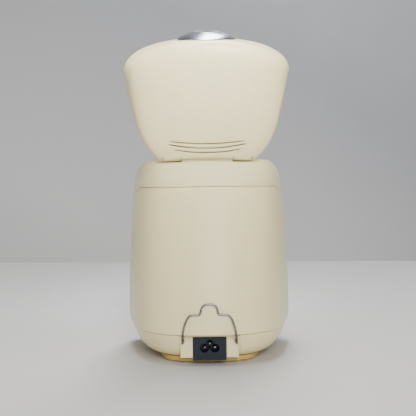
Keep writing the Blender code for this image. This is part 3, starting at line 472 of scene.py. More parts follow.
LOOKS = {
    "cream_plastic": cream("cream_plastic", (0.87, 0.755, 0.41), (0.86, 0.75, 0.405), (0.28, 0.30)),
    "cream_liner": cream("cream_liner", (0.80, 0.73, 0.55), (0.77, 0.70, 0.53), (0.42, 0.52)),
    # ochre_plastic: painted shade and warm bounce light, cream plastic coloured as it looks in the shade
    # under the body
    "ochre_plastic": cream("ochre_plastic", (0.50, 0.36, 0.10), (0.60, 0.36, 0.06), (0.36, 0.48)),
    "brushed_metal": spun("brushed_metal", (0.42, 0.43, 0.49), 0.35, (0.16, 0.26), 0.02, 0.75),
    "steel": metal("steel", (0.50, 0.49, 0.48), 0.5, (1.0, 1.0, 12.0), (0.22, 0.38)),
    "dark_steel": metal("dark_steel", (0.20, 0.20, 0.215), 0.5, (1.0, 1.0, 12.0), (0.24, 0.38)),
    "bare_aluminium": spun("bare_aluminium", (0.70, 0.70, 0.71), 0.5, (0.24, 0.40), 0.02, 0.5),
    "cast_aluminium": metal("cast_aluminium", (0.55, 0.55, 0.56), 1.6, (1.0, 1.0, 1.0), (0.42, 0.6), 0.08),
    "non_stick": speckled("non_stick", (0.035, 0.035, 0.04), (0.16, 0.16, 0.17), (0.34, 0.5)),
    "navy_plastic": dark_plastic("navy_plastic", (0.005, 0.009, 0.016), (0.009, 0.015, 0.024), (0.46, 0.60),
                                 0.5, Specular_IOR_Level=0.28),
    "black_gloss": dark_plastic("black_gloss", (0.012, 0.012, 0.014), (0.02, 0.02, 0.022), (0.08, 0.16),
                                3.0, Coat_Weight=0.6),
    "display_lens": dark_plastic("display_lens", (0.02, 0.028, 0.026), (0.03, 0.042, 0.036), (0.03, 0.07),
                                 6.0, Coat_Weight=1.0),
    "circuit_board": board("circuit_board"),
    "silicone": dark_plastic("silicone", (0.50, 0.51, 0.50), (0.60, 0.60, 0.58), (0.45, 0.6), 0.6),
    # rubber: its brownish colour is painted shade, matched to the shaded foot ring under the body
    "rubber": dark_plastic("rubber", (0.28, 0.20, 0.09), (0.33, 0.24, 0.11), (0.7, 0.88), 0.5),
    "table": ground("table", (0.60, 0.59, 0.58), (0.56, 0.55, 0.545), 260.0),
    # the last colour is painted shade towards the top right of the wall
    "wall": ground("wall", (0.50, 0.49, 0.485), (0.465, 0.46, 0.46), 420.0, (0.26, 0.265, 0.28)),
}


# ---- Objects -------------------------------------------------------------
def raw(name, bm, matrix=Matrix.Identity(4)):
    """An object from a mesh in millimetres."""
    bmesh.ops.scale(bm, vec=(MM, MM, MM), verts=bm.verts)
    mesh = bpy.data.meshes.new(name)
    bm.to_mesh(mesh)
    bm.free()
    made = bpy.data.objects.new(name, mesh)
    made.matrix_world = in_metres(matrix)
    bpy.context.scene.collection.objects.link(made)
    return made


def carve(target, bm, operation="DIFFERENCE"):
    """Cuts, joins or intersects at once, and removes the helper solid."""
    helper = raw("helper", bm)
    change = target.modifiers.new("carve", "BOOLEAN")
    change.operation = operation
    change.solver = "EXACT"
    change.object = helper
    bpy.context.view_layer.update()
    shown = target.evaluated_get(bpy.context.evaluated_depsgraph_get())
    mesh = bpy.data.meshes.new_from_object(shown)
    target.modifiers.clear()
    old = target.data
    target.data = mesh
    bpy.data.meshes.remove(old)
    bpy.data.objects.remove(helper, do_unlink=True)
    return target


def solid_of(made):
    """A helper object's mesh in millimetres; the object is removed."""
    bm = bmesh.new()
    bm.from_mesh(made.data)
    bmesh.ops.scale(bm, vec=(1.0 / MM, 1.0 / MM, 1.0 / MM), verts=bm.verts)
    bpy.data.objects.remove(made, do_unlink=True)
    return bm


def finish_piece(made, slot, body, nodes, bevel=0.0, look=None, lid=False, sharp=35.0, lathe=False):
    """Shading, material and place in the model; a lathe piece keeps its own axis."""
    if made.type == "MESH":
        made.data.shade_smooth()
        made.data.set_sharp_from_angle(angle=math.radians(sharp))
        if bevel:
            edge = made.modifiers.new("edges", "BEVEL")
            edge.width = bevel * MM
            edge.segments = 3
            edge.limit_method = "ANGLE"
            edge.angle_limit = math.radians(40.0)
    made.data.materials.clear()
    made.data.materials.append(LOOKS[look or slot].material)
    if lid:
        made.matrix_world = OPEN @ made.matrix_world
        if not lathe:
            made.data.transform(made.matrix_world)
            made.matrix_world = Matrix.Identity(4)
    bpy.context.view_layer.update()
    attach(made, body)
    if nodes:
        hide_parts(*nodes)
    return made


# ---- Body ----------------------------------------------------------------
def panel_frame():
    return facing(place(0.0, front_depth(PANEL_Z), PANEL_Z), PANEL_LEAN)


def upper_ring(share, below, inset):
    """A ring between a level height and the collar seam, which steps down round the rear corners."""
    top = COLLAR_SEAM_Z - GAP - below
    upper, lower = (SEAM_BLEND_Z + (high - SEAM_BLEND_Z) * share for high in (top, top - SEAM_DROP))
    ring = []
    for (x, depth), (low_x, low_depth) in zip(plan(*body_size(upper, inset)), plan(*body_size(lower, inset))):
        part = seam_drop(depth) / SEAM_DROP
        x, depth = x + (low_x - x) * part, depth + (low_depth - depth) * part
        ring.append(place(x, depth, upper + (lower - upper) * part))
    return ring


def body_shell():
    """The sleeve between the seams, with softly rounded edges."""
    low = BASE_SEAM_Z + GAP
    rings = [body_ring(low + rise, inset) for rise, inset in SOFT_EDGE]
    rings += [body_ring(32.0 + 3.0 * i) for i in range(43)]
    rings += [upper_ring(0.15 * i, 0.8, 0.0) for i in range(1, 7)]
    rings += [upper_ring(1.0, rise, inset) for rise, inset in reversed(SOFT_EDGE)]
    inside = [upper_ring(1.0, 0.0, WALL)] + [body_ring(z, WALL) for z in (140.0, 110.0, 80.0, 50.0, low)]
    shell = raw("shell_skin", skin(rings + inside, closed=True))
    window = prism(rounded_outline(PANEL_HALF[0] + GAP, PANEL_HALF[1] + GAP, 9.0), -12.0, 12.0)
    carve(shell, moved(window, panel_frame()))
    finish_piece(shell, "cream_plastic", "cooker_body", ["main_shell"])


def base_pan():
    outside = [body_ring(z, inset) for z, inset in smooth_rows(PAN_OUTSIDE, 5)]
    inside = [body_ring(z, inset) for z, inset in smooth_rows(PAN_INSIDE, 3)]
    rings = [middle_of(inside[-1])] + inside[::-1] + outside + [middle_of(outside[-1])]
    pan = raw("pan_skin", skin(rings))
    reach = BAY_HALF + BAY_WALL + GAP
    carve(pan, box((-reach, -10.0, 0.0), (reach, 26.3, 40.0)))
    finish_piece(pan, "cream_plastic", "cooker_body", ["base_pan"])


def pan_solid():
    rings = [body_ring(z, inset) for z, inset in smooth_rows(PAN_OUTSIDE, 5)]
    return skin([middle_of(rings[0])] + rings + [middle_of(rings[-1])])


def inlet_bay():
    reach = BAY_HALF + BAY_WALL
    bay = raw("bay_skin", box((-reach, -8.0, BAY_FLOOR_Z), (reach, 26.0, BASE_SEAM_Z - 2.0 * GAP)))
    carve(bay, pan_solid(), "INTERSECT")
    carve(bay, box((-BAY_HALF - 0.9, BAY_BACK_DEPTH - 1.0, BAY_FLOOR_Z),
                   (BAY_HALF + 0.9, 26.0, BASE_SEAM_Z - 2.4 * GAP)), "UNION")
    carve(bay, box((-BAY_HALF, -9.0, 0.0), (BAY_HALF, BAY_BACK_DEPTH, 40.0)))
    carve(bay, box((-INLET_HALF - GAP, 0.0, 0.0), (INLET_HALF + GAP, 30.0, INLET_TOP_Z + GAP)))
    pivot = place(0.0, BAIL_PIVOT_DEPTH, BAIL_PIVOT_Z)
    carve(bay, rod(pivot, "X", BAIL_WIRE + GAP + 0.1, BAY_HALF + 1.2, 24))
    finish_piece(bay, "cream_plastic", "cooker_body", ["inlet_bay"], bevel=0.25)


def inlet():
    """The socket block with its trefoil well, a raised lip round the well and three pins."""
    block = box((-INLET_HALF, INLET_FACE_DEPTH, BAY_FLOOR_Z), (INLET_HALF, 25.8, INLET_TOP_Z))
    socket = raw("socket_block", block)
    carve(socket, box((-INLET_HALF + 0.05, INLET_FACE_DEPTH + 0.02, INLET_LIP_Z),
                      (INLET_HALF - 0.05, 20.0, 9.0)), "UNION")
    floor = INLET_FACE_DEPTH + WELL_DEPTH
    for _, x, z in PIN_PLACES:
        carve(socket, rod_along_depth(x, z, 0.0, floor, LOBE_RADIUS))
    for _, x, z in PIN_PLACES:
        carve(socket, rod_along_depth(x, z, floor - 2.0, 28.0, INLET_PIN_RADIUS + GAP))
    finish_piece(socket, "navy_plastic", "cooker_body", ["inlet_socket"], bevel=0.35)
    for name, x, z in PIN_PLACES:
        near, far = INLET_FACE_DEPTH + 2.0, 25.4
        tip = ((0.0, near), (0.55, near), (1.0, near + 0.3), (INLET_PIN_RADIUS, near + 0.9),
               (INLET_PIN_RADIUS, far), (0.0, far))
        shape = turned([(r, -d) for r, d in tip], segments=40)
        turn = Matrix.Rotation(-math.pi / 2.0, 4, "X")
        pin = raw(name + "_bar", moved(shape, Matrix.Translation(place(x, 0.0, z)) @ turn))
        finish_piece(pin, "steel", "cooker_body", [name], look="dark_steel")


def bail_points():
    """The wire's path as (x, depth, z), from one pivot over the loop to the other."""
    right = [
        (BAY_HALF + 0.9, BAIL_PIVOT_DEPTH, BAIL_PIVOT_Z), (26.2, BAIL_PIVOT_DEPTH, BAIL_PIVOT_Z),
        (25.6, 8.6, BAIL_PIVOT_Z + 1.4), (25.6, 4.0, 26.6), (25.5, -0.2, 30.6), (25.0, -1.4, 35.0),
        (23.4, -1.4, 41.0), (21.0, -1.4, 46.6), (18.4, -1.4, 49.8), (15.6, -1.4, 50.4),
        (10.0, -1.4, 50.7), (8.7, -1.4, 51.6), (8.0, -1.4, 53.8), (7.2, -1.4, 57.0),
        (5.0, -1.4, 59.4), (2.0, -1.4, 60.4),
    ]
    return right + [(-x, depth, z) for x, depth, z in reversed(right)]


def tube(name, points, radii, sides=16):
    """A round tube through places, with its own radius at each."""
    rings = []
    side = Vector((0.0, 0.0, 1.0))
    for i, point in enumerate(points):
        way = (points[min(i + 1, len(points) - 1)] - points[max(i - 1, 0)]).normalized()
        side = (side - way * side.dot(way)).normalized()
        across = way.cross(side)
        ring = []
        for k in range(sides):
            angle = 2.0 * math.pi * k / sides
            ring.append(point + (side * math.cos(angle) + across * math.sin(angle)) * radii[i])
        rings.append(ring)
    return raw(name, skin([[points[0]]] + rings + [[points[-1]]]))


def bail():
    """Spring wire, bent over the plug, with thicker sleeves just above its pivots."""
    path = smooth_rows(bail_points(), 6)
    sleeve_top, sleeve_depth, sleeve_wall = 26.0, 9.3, 0.5
    radii = []
    for _, depth, z in path:
        below_top = 1.0 - min(1.0, max(0.0, (z - sleeve_top) / 0.8))
        past_pivot = min(1.0, max(0.0, (sleeve_depth - depth) / 0.6))
        radii.append(BAIL_WIRE + 0.08 + sleeve_wall * below_top * past_pivot)
    wire = tube("bail_wire", [place(*spot) for spot in path], radii)
    finish_piece(wire, "steel", "bail", ["plug_bail"], sharp=70.0, look="dark_steel")


def foot_ring():
    """The ring under the pan, with four rubber feet in pockets; its ochre colour is painted shade and warm
    bounce light on cream plastic.
    """
    top = PAN_FLOOR_Z - GAP
    rows = ((top, 0.9), (5.6, 0.3), (3.4, 0.0), (1.4, 0.25), (0.7, 1.1))

    def ring(z, inset):
        outline = plan(60.0 - inset, 21.5 + inset, 141.0 - inset, FOOT_PLAN)
        return [place(x, depth, z) for x, depth in outline]

    outer = [ring(z, inset) for z, inset in smooth_rows(rows, 4)]
    base = raw("foot_ring_skin", skin(outer + [ring(0.7, 15.0), ring(top, 15.0)], closed=True))
    for name, x, depth in (("foot_rear_left", -30.0, 31.5), ("foot_rear_right", 30.0, 31.5),
                           ("foot_front_left", -34.0, 131.0), ("foot_front_right", 34.0, 131.0)):
        centre = place(x, depth, 0.0)
        carve(base, turned(((0.0, -3.0), (6.8, -3.0), (6.8, 2.0), (0.0, 2.0)), centre, 64))
        pad = turned(((0.0, 0.0), (5.3, 0.0), (5.9, 0.1), (6.35, 0.35), (6.5, 0.75), (6.5, 1.7),
                      (0.0, 1.7)), centre)
        # the feet's brownish colour is painted shade under the body
        finish_piece(raw(name + "_pad", pad), "rubber", "cooker_body", [name])
    # the ochre colour of the ring is painted shade under the body
    finish_piece(base, "ochre_plastic", "cooker_body", ["foot_ring"])


def collar_ring(height, inset, front_inset=None, rise=12.0):
    """A ring of the collar; rise says how far over the seam its width is taken."""
    half, rear, front = body_size(COLLAR_SEAM_Z + rise, inset)
    rear = COLLAR_REAR if inset > 5.0 else rear
    front = BODY_DEPTH - FRONT_LEAN * (COLLAR_SEAM_Z - WIDEST_Z) - (front_inset or inset)
    return [place(x, depth, height(x, depth)) for x, depth in plan(half, rear, front)]


def top_collar():
    """The ring under the lid, its upper edge rolled over, with the hinge tongue at the rear."""
    def low(x, depth):
        return COLLAR_SEAM_Z + GAP - seam_drop(depth - SEAM_LAG)

    def over_seam(rise):
        return lambda x, depth: low(x, depth) + rise

    def at(share):
        return lambda x, depth: low(x, depth) + (parting_z(depth) - GAP - low(x, depth)) * share

    def below_top(drop):
        def height(x, depth):
            top = parting_z(depth)
            return top - GAP - drop * min(1.0, (top - low(x, depth)) / 12.0)

        return height

    rings = [collar_ring(over_seam(rise), inset, rise=rise) for rise, inset in SOFT_EDGE]
    rings += [collar_ring(at(0.2 + 0.12 * i), 0.03 * i, rise=3.0 + 2.25 * i) for i in range(5)]
    roll = 2.0
    for step in range(8):
        angle = math.pi / 2.0 * step / 7.0
        drop, inset = roll * (1.0 - math.sin(angle)), 0.2 + roll * (1.0 - math.cos(angle))
        rings.append(collar_ring(below_top(drop), inset))
    rings += [collar_ring(below_top(0.0), COLLAR_INSET - 0.6, COLLAR_FRONT_INSET - 0.3),
              collar_ring(below_top(0.6), COLLAR_INSET, COLLAR_FRONT_INSET),
              collar_ring(low, COLLAR_INSET, COLLAR_FRONT_INSET)]
    collar = raw("collar_skin", skin(rings, closed=True))
    carve(collar, box((-62.0, -10.0, SHELF_Z), (62.0, 19.0, 220.0)))
    carve(collar, box((-TONGUE_HALF, HINGE_DEPTH - TONGUE_RADIUS, SHELF_Z - 3.0),
                      (TONGUE_HALF, HINGE_DEPTH + TONGUE_RADIUS, HINGE_Z)), "UNION")
    carve(collar, rod(HINGE, "X", TONGUE_RADIUS, TONGUE_HALF - 0.02), "UNION")
    carve(collar, rod(HINGE, "X", PIN_RADIUS + GAP, TONGUE_HALF + 5.0))
    carve(collar, box((-9.0, 110.0, 160.0), (9.0, front_depth(COLLAR_SEAM_Z) - WALL - 0.1, 190.0)))
    carve(collar, box((-8.0, HINGE_DEPTH - 4.2, HINGE_Z - 4.2), (8.0, 40.0, 230.0)))
    finish_piece(collar, "cream_plastic", "cooker_body", ["top_collar"])


def deck():
    """The shelf inside the collar, with a softened hole for the pot."""
    outer = [body_ring(z, WALL + GAP + 0.3) for z in DECK_Z]
    mouth = circle_plan(POT_RADIUS + 1.2, POT_DEPTH)
    soft = circle_plan(POT_RADIUS + 1.8, POT_DEPTH)
    hole = [[place(x, depth, z) for x, depth in outline]
            for outline, z in ((soft, DECK_Z[1]), (mouth, DECK_Z[1] - 0.6), (mouth, DECK_Z[0]))]
    made = raw("deck_skin", skin(outer + hole, closed=True))
    finish_piece(made, "cream_liner", "cooker_body", ["inner_deck"])


def inside_body():
    """The pot and the turned pieces below it."""
    centre = Matrix.Translation(place(0.0, POT_DEPTH, 0.0))
    r, low, rim = POT_RADIUS, POT_BOTTOM_Z, POT_RIM_Z - 2.2
    outside = smooth_rows(((r - 14.0, low), (r - 6.5, low + 2.4), (r - 2.0, low + 8.0), (r, low + 17.0)), 6)
    lip = [(r, rim - 0.8), (r + 0.6, rim), (POT_RIM_RADIUS - 0.7, rim), (POT_RIM_RADIUS - 0.1, rim + 0.5),
           (POT_RIM_RADIUS, rim + 1.2), (POT_RIM_RADIUS - 0.3, POT_RIM_Z - 0.3),
           (POT_RIM_RADIUS - 1.0, POT_RIM_Z), (r - 0.6, POT_RIM_Z), (r - 1.3, POT_RIM_Z - 0.4),
           (r - 1.6, POT_RIM_Z - 1.2)]
    inside = smooth_rows(((r - 1.6, low + 17.0), (r - 3.6, low + 9.2), (r - 8.0, low + 4.2),
                          (r - 14.6, low + 2.0)), 6)
    bowl = [(0.0, low)] + outside + lip + inside + [(0.0, low + 2.0)]
    pot = raw("pot_bowl", turned(bowl, segments=128), centre)
    finish_piece(pot, "non_stick", "pot", ["inner_pot"])
    plate = ((12.0, 58.6), (34.0, 59.2), (43.5, 62.2), (44.5, 60.6), (44.5, 52.0), (40.0, 50.0), (40.0, 43.6),
             (36.0, 43.6), (36.0, 50.0), (12.0, 50.0))
    made = raw("heating_casting", turned(plate, closed=True), centre)
    finish_piece(made, "bare_aluminium", "cooker_body", ["heating_plate"], bevel=0.4, look="cast_aluminium")
    shield = ((51.0, 164.6), (50.2, 164.6), (50.2, 43.2), (40.0, 43.2), (40.0, 42.2), (51.0, 42.2))
    made = raw("shield_can", turned(shield, closed=True), centre)
    finish_piece(made, "bare_aluminium", "cooker_body", ["heat_shield"])
    cap = ((0.0, 59.7), (8.6, 59.7), (9.4, 59.5), (9.9, 59.0), (10.0, 58.2), (10.0, 55.0), (3.2, 55.0),
           (3.2, 44.0), (0.0, 44.0))
    finish_piece(raw("sensor_cap", turned(cap), centre), "bare_aluminium", "sensor", ["thermal_sensor"])


# ---- Front panel ---------------------------------------------------------
def proud_skin():
    """The body's outline, a little larger, that trims what stands proud of it."""
    rings = [body_ring(60.0 + 4.0 * i, -0.7) for i in range(27)]
    return skin([middle_of(rings[0])] + rings + [middle_of(rings[-1])])


def control_panel():
    """The front panel with its display lens and three keys."""
    base = panel_frame()
    display = base @ Matrix.Translation((0.0, DISPLAY_ROW, 0.0))
    panel = raw("panel_face", moved(prism(rounded_outline(*PANEL_HALF, 8.7), -5.5, 6.0), base))
    carve(panel, proud_skin(), "INTERSECT")
    hole = prism(rounded_outline(DISPLAY_HALF[0] + GAP, DISPLAY_HALF[1] + GAP, 3.0), -10.0, 10.0)
    carve(panel, moved(hole, display))
    lens = raw("display_lens", moved(prism(rounded_outline(*DISPLAY_HALF, 2.7), -4.0, 6.0), display))
    carve(lens, proud_skin(), "INTERSECT")
    finish_piece(lens, "display_lens", "cooker_body", ["display_window"], bevel=0.2)
    stem = KEY_RADIUS - 1.6
    for name, body, x in KEYS:
        spot = base @ Matrix.Translation((x, KEY_ROW, 0.0))
        hole = turned(((0.0, -12.0), (KEY_RADIUS + GAP, -12.0), (KEY_RADIUS + GAP, 12.0), (0.0, 12.0)))
        carve(panel, moved(hole, spot))
        cap = ((0.0, -6.9), (stem, -6.9), (stem, -4.0), (KEY_RADIUS, -4.0), (KEY_RADIUS, 1.3),
               (KEY_RADIUS - 0.2, 1.75), (KEY_RADIUS - 0.7, 2.0), (4.0, 2.05), (3.6, 1.75), (2.0, 1.6),
               (0.0, 1.55))
        finish_piece(raw(name + "_cap", turned(cap), spot), "brushed_metal", body, [name])
    finish_piece(panel, "black_gloss", "cooker_body", ["control_panel"], bevel=0.25)


# ---- Lid -----------------------------------------------------------------
def lid_size():
    half, _, _ = body_size(COLLAR_SEAM_Z + 12.0)
    return half + LID_OVERHANG, LID_FULL_REAR, front_depth(COLLAR_SEAM_Z)


def lid_ring(ring, shrink=0.0):
    """A ring of the closed lid from (share of its height, side, front and rear insets)."""
    share, side, front_in, rear_in = ring
    half, rear, front = lid_size()
    outline = plan(half - side - shrink, rear + rear_in + shrink, front - front_in - shrink, LID_PLAN)
    points = []
    for x, depth in outline:
        depth = max(depth, LID_REAR_DEPTH + 0.35 * rear_in + shrink)
        low = parting_z(depth) + 0.5
        high = lid_top_z(x, depth) - shrink
        points.append(place(x, depth, low + (high - low) * share))
    return points


SMOOTH_LID = smooth_rows(LID_RINGS, 6)


def lid_solid(grow=0.0, skirt=0.0):
    """The lid's outline as a solid; a skirt carries its brim further down."""
    rings = [lid_ring(ring, -grow) for ring in SMOOTH_LID]
    if skirt:
        rings.insert(0, [point - Vector((0.0, 0.0, skirt)) for point in rings[0]])
    return skin([middle_of(rings[0])] + rings + [middle_of(rings[-1])])


def vent_cutter(half_span, middle, ends, width):
    """An upright curved blade with round ends."""
    steps = 40

    def spine(x):
        return middle + (ends - middle) * (abs(x) / half_span) ** 2.0

    near, far = [], []
    for i in range(steps + 1):
        x = half_span * (2.0 * i / steps - 1.0)
        from_end = half_span - abs(x)
        half = 0.5 * width * min(1.0, math.sqrt(max(0.04, from_end / (0.9 * width))))
        near.append((x, spine(x) - half))
        far.append((x, spine(x) + half))
    return slab(near + far[::-1], HINGE_Z + 3.0, HINGE_Z + 30.0)


def lid_shell():
    """The domed cover with its rolled brim, steam slots and hinge notches."""
    brim = [(0.0, 0.55, 0.55, 0.3), (0.008, 0.16, 0.16, 0.1)]
    outside = [lid_ring(ring) for ring in brim + SMOOTH_LID[1:]]
    inside = [lid_ring(ring, LID_WALL) for ring in LID_RINGS]
    rings = [middle_of(outside[-1])] + outside[::-1] + inside + [middle_of(inside[-1])]
    shell = raw("lid_skin", skin(rings))
    wide, narrow = KNUCKLE_OUTER + 1.2, KNUCKLE_INNER - 0.8
    deep, shallow = HINGE_DEPTH - 0.95, HINGE_DEPTH - 3.3
    right = [(narrow, shallow), (narrow, deep), (wide, deep), (wide, -10.0)]
    notch = right + [(-x, depth) for x, depth in reversed(right)]
    carve(shell, slab(notch, 190.0, 230.0))
    carve(shell, box((-43.1, -10.0, 190.0), (43.1, HINGE_DEPTH + 6.2, HINGE_Z + 7.0)))
    for span, middle, ends, width in VENT_SLOTS:
        groove = raw("vent_groove", vent_cutter(span, middle, ends, width + GROOVE_EXTRA))
        carve(shell, solid_of(carve(groove, lid_solid(-GROOVE_DEPTH))))
        carve(shell, vent_cutter(span, middle, ends, SLOT_SHARE * width))
    hole = turned(((0.0, -14.0), (BUTTON_RADIUS + 5.0, -14.0), (BUTTON_RADIUS + 5.0, 14.0), (0.0, 14.0)))
    carve(shell, moved(hole, button_frame()))
    finish_piece(shell, "cream_plastic", "lid", ["lid_shell"], lid=True)


def knuckles():
    """The two lid knuckles that the hinge pin runs through."""
    for side, name in ((-1, "knuckle_left"), (1, "knuckle_right")):
        low, high = sorted((side * KNUCKLE_INNER, side * (KNUCKLE_OUTER + 0.6)))
        knuckle = raw(name + "_block", box((low, LID_REAR_DEPTH, HINGE_Z - 3.4),
                                           (high, HINGE_DEPTH - 1.0, HINGE_Z + 10.6)))
        carve(knuckle, box((low + 0.05, HINGE_DEPTH - 4.0, HINGE_Z - 2.0),
                           (high - 0.05, HINGE_DEPTH + 6.0, HINGE_Z + 6.4)), "UNION")
        centre = HINGE + Vector(((low + high) / 2.0, 0.0, 0.0))
        carve(knuckle, rod(centre, "X", KNUCKLE_RADIUS, (high - low) / 2.0 - 0.1), "UNION")
        carve(knuckle, lid_solid(), "INTERSECT")
        carve(knuckle, rod(centre, "X", PIN_RADIUS + GAP, 12.0))
        finish_piece(knuckle, "cream_plastic", "lid", [name], lid=True)


def liner_ring(lift):
    half, rear, front = lid_size()
    inset = LID_WALL + 0.9
    outline = plan(half - inset, rear + inset, front - inset - 0.4, LID_PLAN)
    outline = [(x, max(depth, LINER_REAR)) for x, depth in outline]
    return [place(x, depth, parting_z(depth) + 0.8 + lift) for x, depth in outline]


def liner_mouth(radius, lift):
    return [place(x, depth, parting_z(depth) + 0.8 + lift) for x, depth in circle_plan(radius, POT_DEPTH)]


def liner_floor(radius, lift):
    return [place(x, depth, LINER_WELL_Z + lift) for x, depth in circle_plan(radius, POT_DEPTH)]


def lid_liner():
    """The lid's inner cover, with the well that the inner plate sits in."""
    outer, inner = LINER_WELL_RADIUS, LINER_WELL_RADIUS - LINER_THICK
    below = [liner_floor(outer - 0.8, 0.0), liner_floor(outer - 0.2, 0.25), liner_floor(outer, 0.9),
             liner_mouth(outer, -1.0), liner_mouth(outer + 0.3, -0.3), liner_mouth(outer + 1.0, 0.0),
             liner_ring(0.0)]
    above = [liner_ring(LINER_THICK), liner_mouth(inner, LINER_THICK), liner_floor(inner, LINER_THICK)]
    rings = [middle_of(below[0])] + below + above + [middle_of(above[-1])]
    liner = raw("liner_skin", skin(rings))
    carve(liner, box((-8.0, 117.6, 160.0), (8.0, 122.4, 190.0)))
    hole = ((0.0, 160.0), (9.0, 160.0), (9.0, 190.0), (0.0, 190.0))
    carve(liner, turned(hole, place(0.0, STEAM_DEPTH, 0.0)))
    finish_piece(liner, "cream_liner", "lid", ["lid_liner"], lid=True)


def inner_lid():
    """The round inner plate with its gasket, and the steam valve over it."""
    centre = Matrix.Translation(place(0.0, POT_DEPTH, 0.0))
    profile = ((0.0, 171.4), (30.0, 171.4), (37.6, 171.4), (38.6, 171.55), (40.6, 171.95), (41.6, 172.0),
               (46.2, 172.0), (46.6, 172.4), (46.6, 173.2), (40.4, 173.2), (37.4, 172.6), (0.0, 172.6))
    plate = raw("inner_plate_disc", turned(profile, segments=128), centre)
    hole = ((0.0, 165.0), (5.0, 165.0), (5.0, 180.0), (0.0, 180.0))
    carve(plate, turned(hole, place(0.0, STEAM_DEPTH, 0.0)))
    finish_piece(plate, "bare_aluminium", "inner_lid", ["inner_lid_plate"], lid=True, lathe=True)
    seal = smooth_rows(((43.2, 171.6), (43.2, 170.4), (43.9, 169.95), (45.2, 169.9), (46.6, 170.1),
                        (47.2, 170.8), (47.2, 171.6)), 4)
    finish_piece(raw("gasket_ring", turned(seal, segments=128, closed=True), centre), "silicone", "inner_lid",
                 ["pot_gasket"], lid=True)
    valve = ((3.4, 174.2), (7.3, 174.2), (7.6, 174.5), (7.6, 177.0), (8.4, 177.0), (8.4, 204.0), (4.2, 204.0),
             (4.2, 180.0), (3.4, 180.0))
    steam = Matrix.Translation(place(0.0, STEAM_DEPTH, 0.0))
    tube_piece = raw("valve_tube", turned(valve, closed=True), steam)
    finish_piece(tube_piece, "cream_liner", "lid", ["steam_valve"], lid=True)


def button_frame():
    return facing(place(0.0, BUTTON_DEPTH, BUTTON_Z), BUTTON_LEAN)


def dome_z(radius):
    return DOME_HEIGHT - DOME_RADIUS + math.sqrt(DOME_RADIUS**2 - radius**2)


def dome():
    """The spun metal dome: a fixed ring round the release button."""
    outer, inner = BUTTON_RING_RADIUS, BUTTON_RADIUS + GAP + 0.1
    steps = [outer - 0.7 - (outer - inner - 1.2) * i / 24.0 for i in range(25)]
    profile = [(outer, -12.0), (outer, -0.5), (outer - 0.1, 0.0), (outer - 0.35, dome_z(outer) + 0.1)]
    profile += [(r, dome_z(r)) for r in steps]
    profile += [(inner + 0.2, dome_z(inner) - 0.15), (inner, dome_z(inner) - 0.5), (inner, -12.0)]
    ring = raw("dome_ring", turned(profile, segments=160, closed=True), button_frame())
    carve(ring, lid_solid(GAP, 14.0))
    finish_piece(ring, "brushed_metal", "lid", ["button_trim_ring"], lid=True, lathe=True)
    edge = BUTTON_RADIUS
    cap = [(r, dome_z(r)) for r in [14.4 * i / 20.0 for i in range(21)]]
    cap += [(edge - 0.25, dome_z(edge) - 0.1), (edge, dome_z(edge) - 0.5), (edge, -4.0), (4.0, -4.0),
            (4.0, PUSHER_END), (0.0, PUSHER_END)]
    button = raw("dome_button", turned(cap, segments=160), button_frame())
    finish_piece(button, "brushed_metal", "lid_release", ["release_button"], lid=True, lathe=True)


def carried_nodes():
    """Solids whose shape is already right: they get a worked material, and the flat-sided ones rounded edges.
    """
    slots = {entry["node"]: entry["material_slot"] for entry in frame["record"]["subparts"]}
    flat_sided = ("board_rail", "catch", "latch", "power_board", "control_board", "sensor_carrier")
    for name, node in frame["nodes"].items():
        if node.hide_render:
            continue
        node.data.materials.clear()
        node.data.materials.append(LOOKS[slots[name]].material)
        if name.startswith(flat_sided):
            edge = node.modifiers.new("edges", "BEVEL")
            edge.width = 0.15 * MM
            edge.segments = 2
            edge.limit_method = "ANGLE"


# ---- Stage, light and camera ---------------------------------------------
def sheet(name, corners, look):
    """A flat sheet of the stage."""
    bm = bmesh.new()
    bm.faces.new([bm.verts.new(corner) for corner in corners])
    mesh = bpy.data.meshes.new(name)
    bm.to_mesh(mesh)
    bm.free()
    made = bpy.data.objects.new(name, mesh)
    made.data.materials.append(LOOKS[look].material)
    bpy.context.scene.collection.objects.link(made)


def stage():
    """A table, and a wall behind it that runs a little askew to the camera."""
    reach, middle, slant = 4.0, -0.955, 0.079
    right = (-reach, middle + slant * reach)
    left = (reach, middle - slant * reach)
    sheet("table_top", ((*left, 0.0), (*right, 0.0), (-reach, 3.0, 0.0), (reach, 3.0, 0.0)), "table")
    sheet("back_wall", ((*right, 0.0), (*left, 0.0), (*left, 3.0), (*right, 3.0)), "wall")


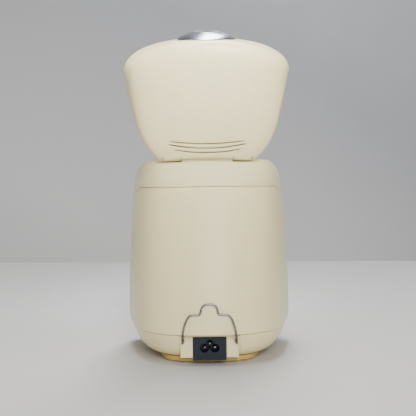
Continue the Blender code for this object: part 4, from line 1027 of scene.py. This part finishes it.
def lamp(name, spot, aim, size, watts, spread=180.0):
    """A rectangular lamp; places and size are in metres, the spread in degrees."""
    light = bpy.data.lights.new(name, "AREA")
    light.shape = "RECTANGLE"
    light.size, light.size_y = size
    light.energy = watts
    light.spread = math.radians(spread)
    made = bpy.data.objects.new(name, light)
    made.location = spot
    made.rotation_euler = (Vector(aim) - Vector(spot)).to_track_quat("-Z", "Y").to_euler()
    bpy.context.scene.collection.objects.link(made)


def lights():
    world = bpy.data.worlds.new("studio")
    world.use_nodes = True
    world.node_tree.nodes["Background"].inputs["Color"].default_value = (0.80, 0.81, 0.82, 1.0)
    world.node_tree.nodes["Background"].inputs["Strength"].default_value = 0.20
    bpy.context.scene.world = world
    lamp("overhead", (-0.03, -0.10, 1.45), (0.0, 0.0, 0.1), (0.32, 1.3), 29.0)
    lamp("behind_camera", (-0.45, 2.3, 1.15), (0.0, 0.0, 0.2), (1.3, 1.0), 52.0)
    lamp("low_front", (-0.10, 1.10, 0.04), (0.0, 0.05, 0.06), (0.35, 0.06), 1.8)
    lamp("lid_key", (-0.08, 0.78, 0.80), (0.0, 0.05, 0.31), (0.25, 0.15), 0.30, 18.0)
    lamp("ceiling_panel", (0.0, -0.40, 1.20), (0.0, 0.0, 0.3), (0.10, 0.6), 0.5)
    lamp("left_strip", (0.95, 0.75, 0.50), (0.0, 0.0, 0.28), (0.10, 0.45), 1.0)


def camera():
    """Behind the cooker, level with the collar seam, with the small tilt of a hand-held shot."""
    distance, look_down, roll = 0.72, math.radians(1.58), math.radians(-0.7)
    data = bpy.data.cameras.new("camera")
    data.sensor_width = 36.0
    data.lens = 66.03
    made = bpy.data.objects.new("camera", data)
    turn = Matrix.Rotation(math.pi, 4, "Z") @ Matrix.Rotation(math.pi / 2.0 - look_down, 4, "X")
    spot = (0.0, REAR_Y * MM + distance, COLLAR_SEAM_Z * MM)
    made.matrix_world = Matrix.Translation(spot) @ turn @ Matrix.Rotation(roll, 4, "Z")
    bpy.context.scene.collection.objects.link(made)
    bpy.context.scene.camera = made


body_shell()
base_pan()
inlet_bay()
inlet()
bail()
foot_ring()
top_collar()
deck()
inside_body()
control_panel()
lid_shell()
knuckles()
lid_liner()
inner_lid()
dome()
carried_nodes()
stage()
lights()
camera()
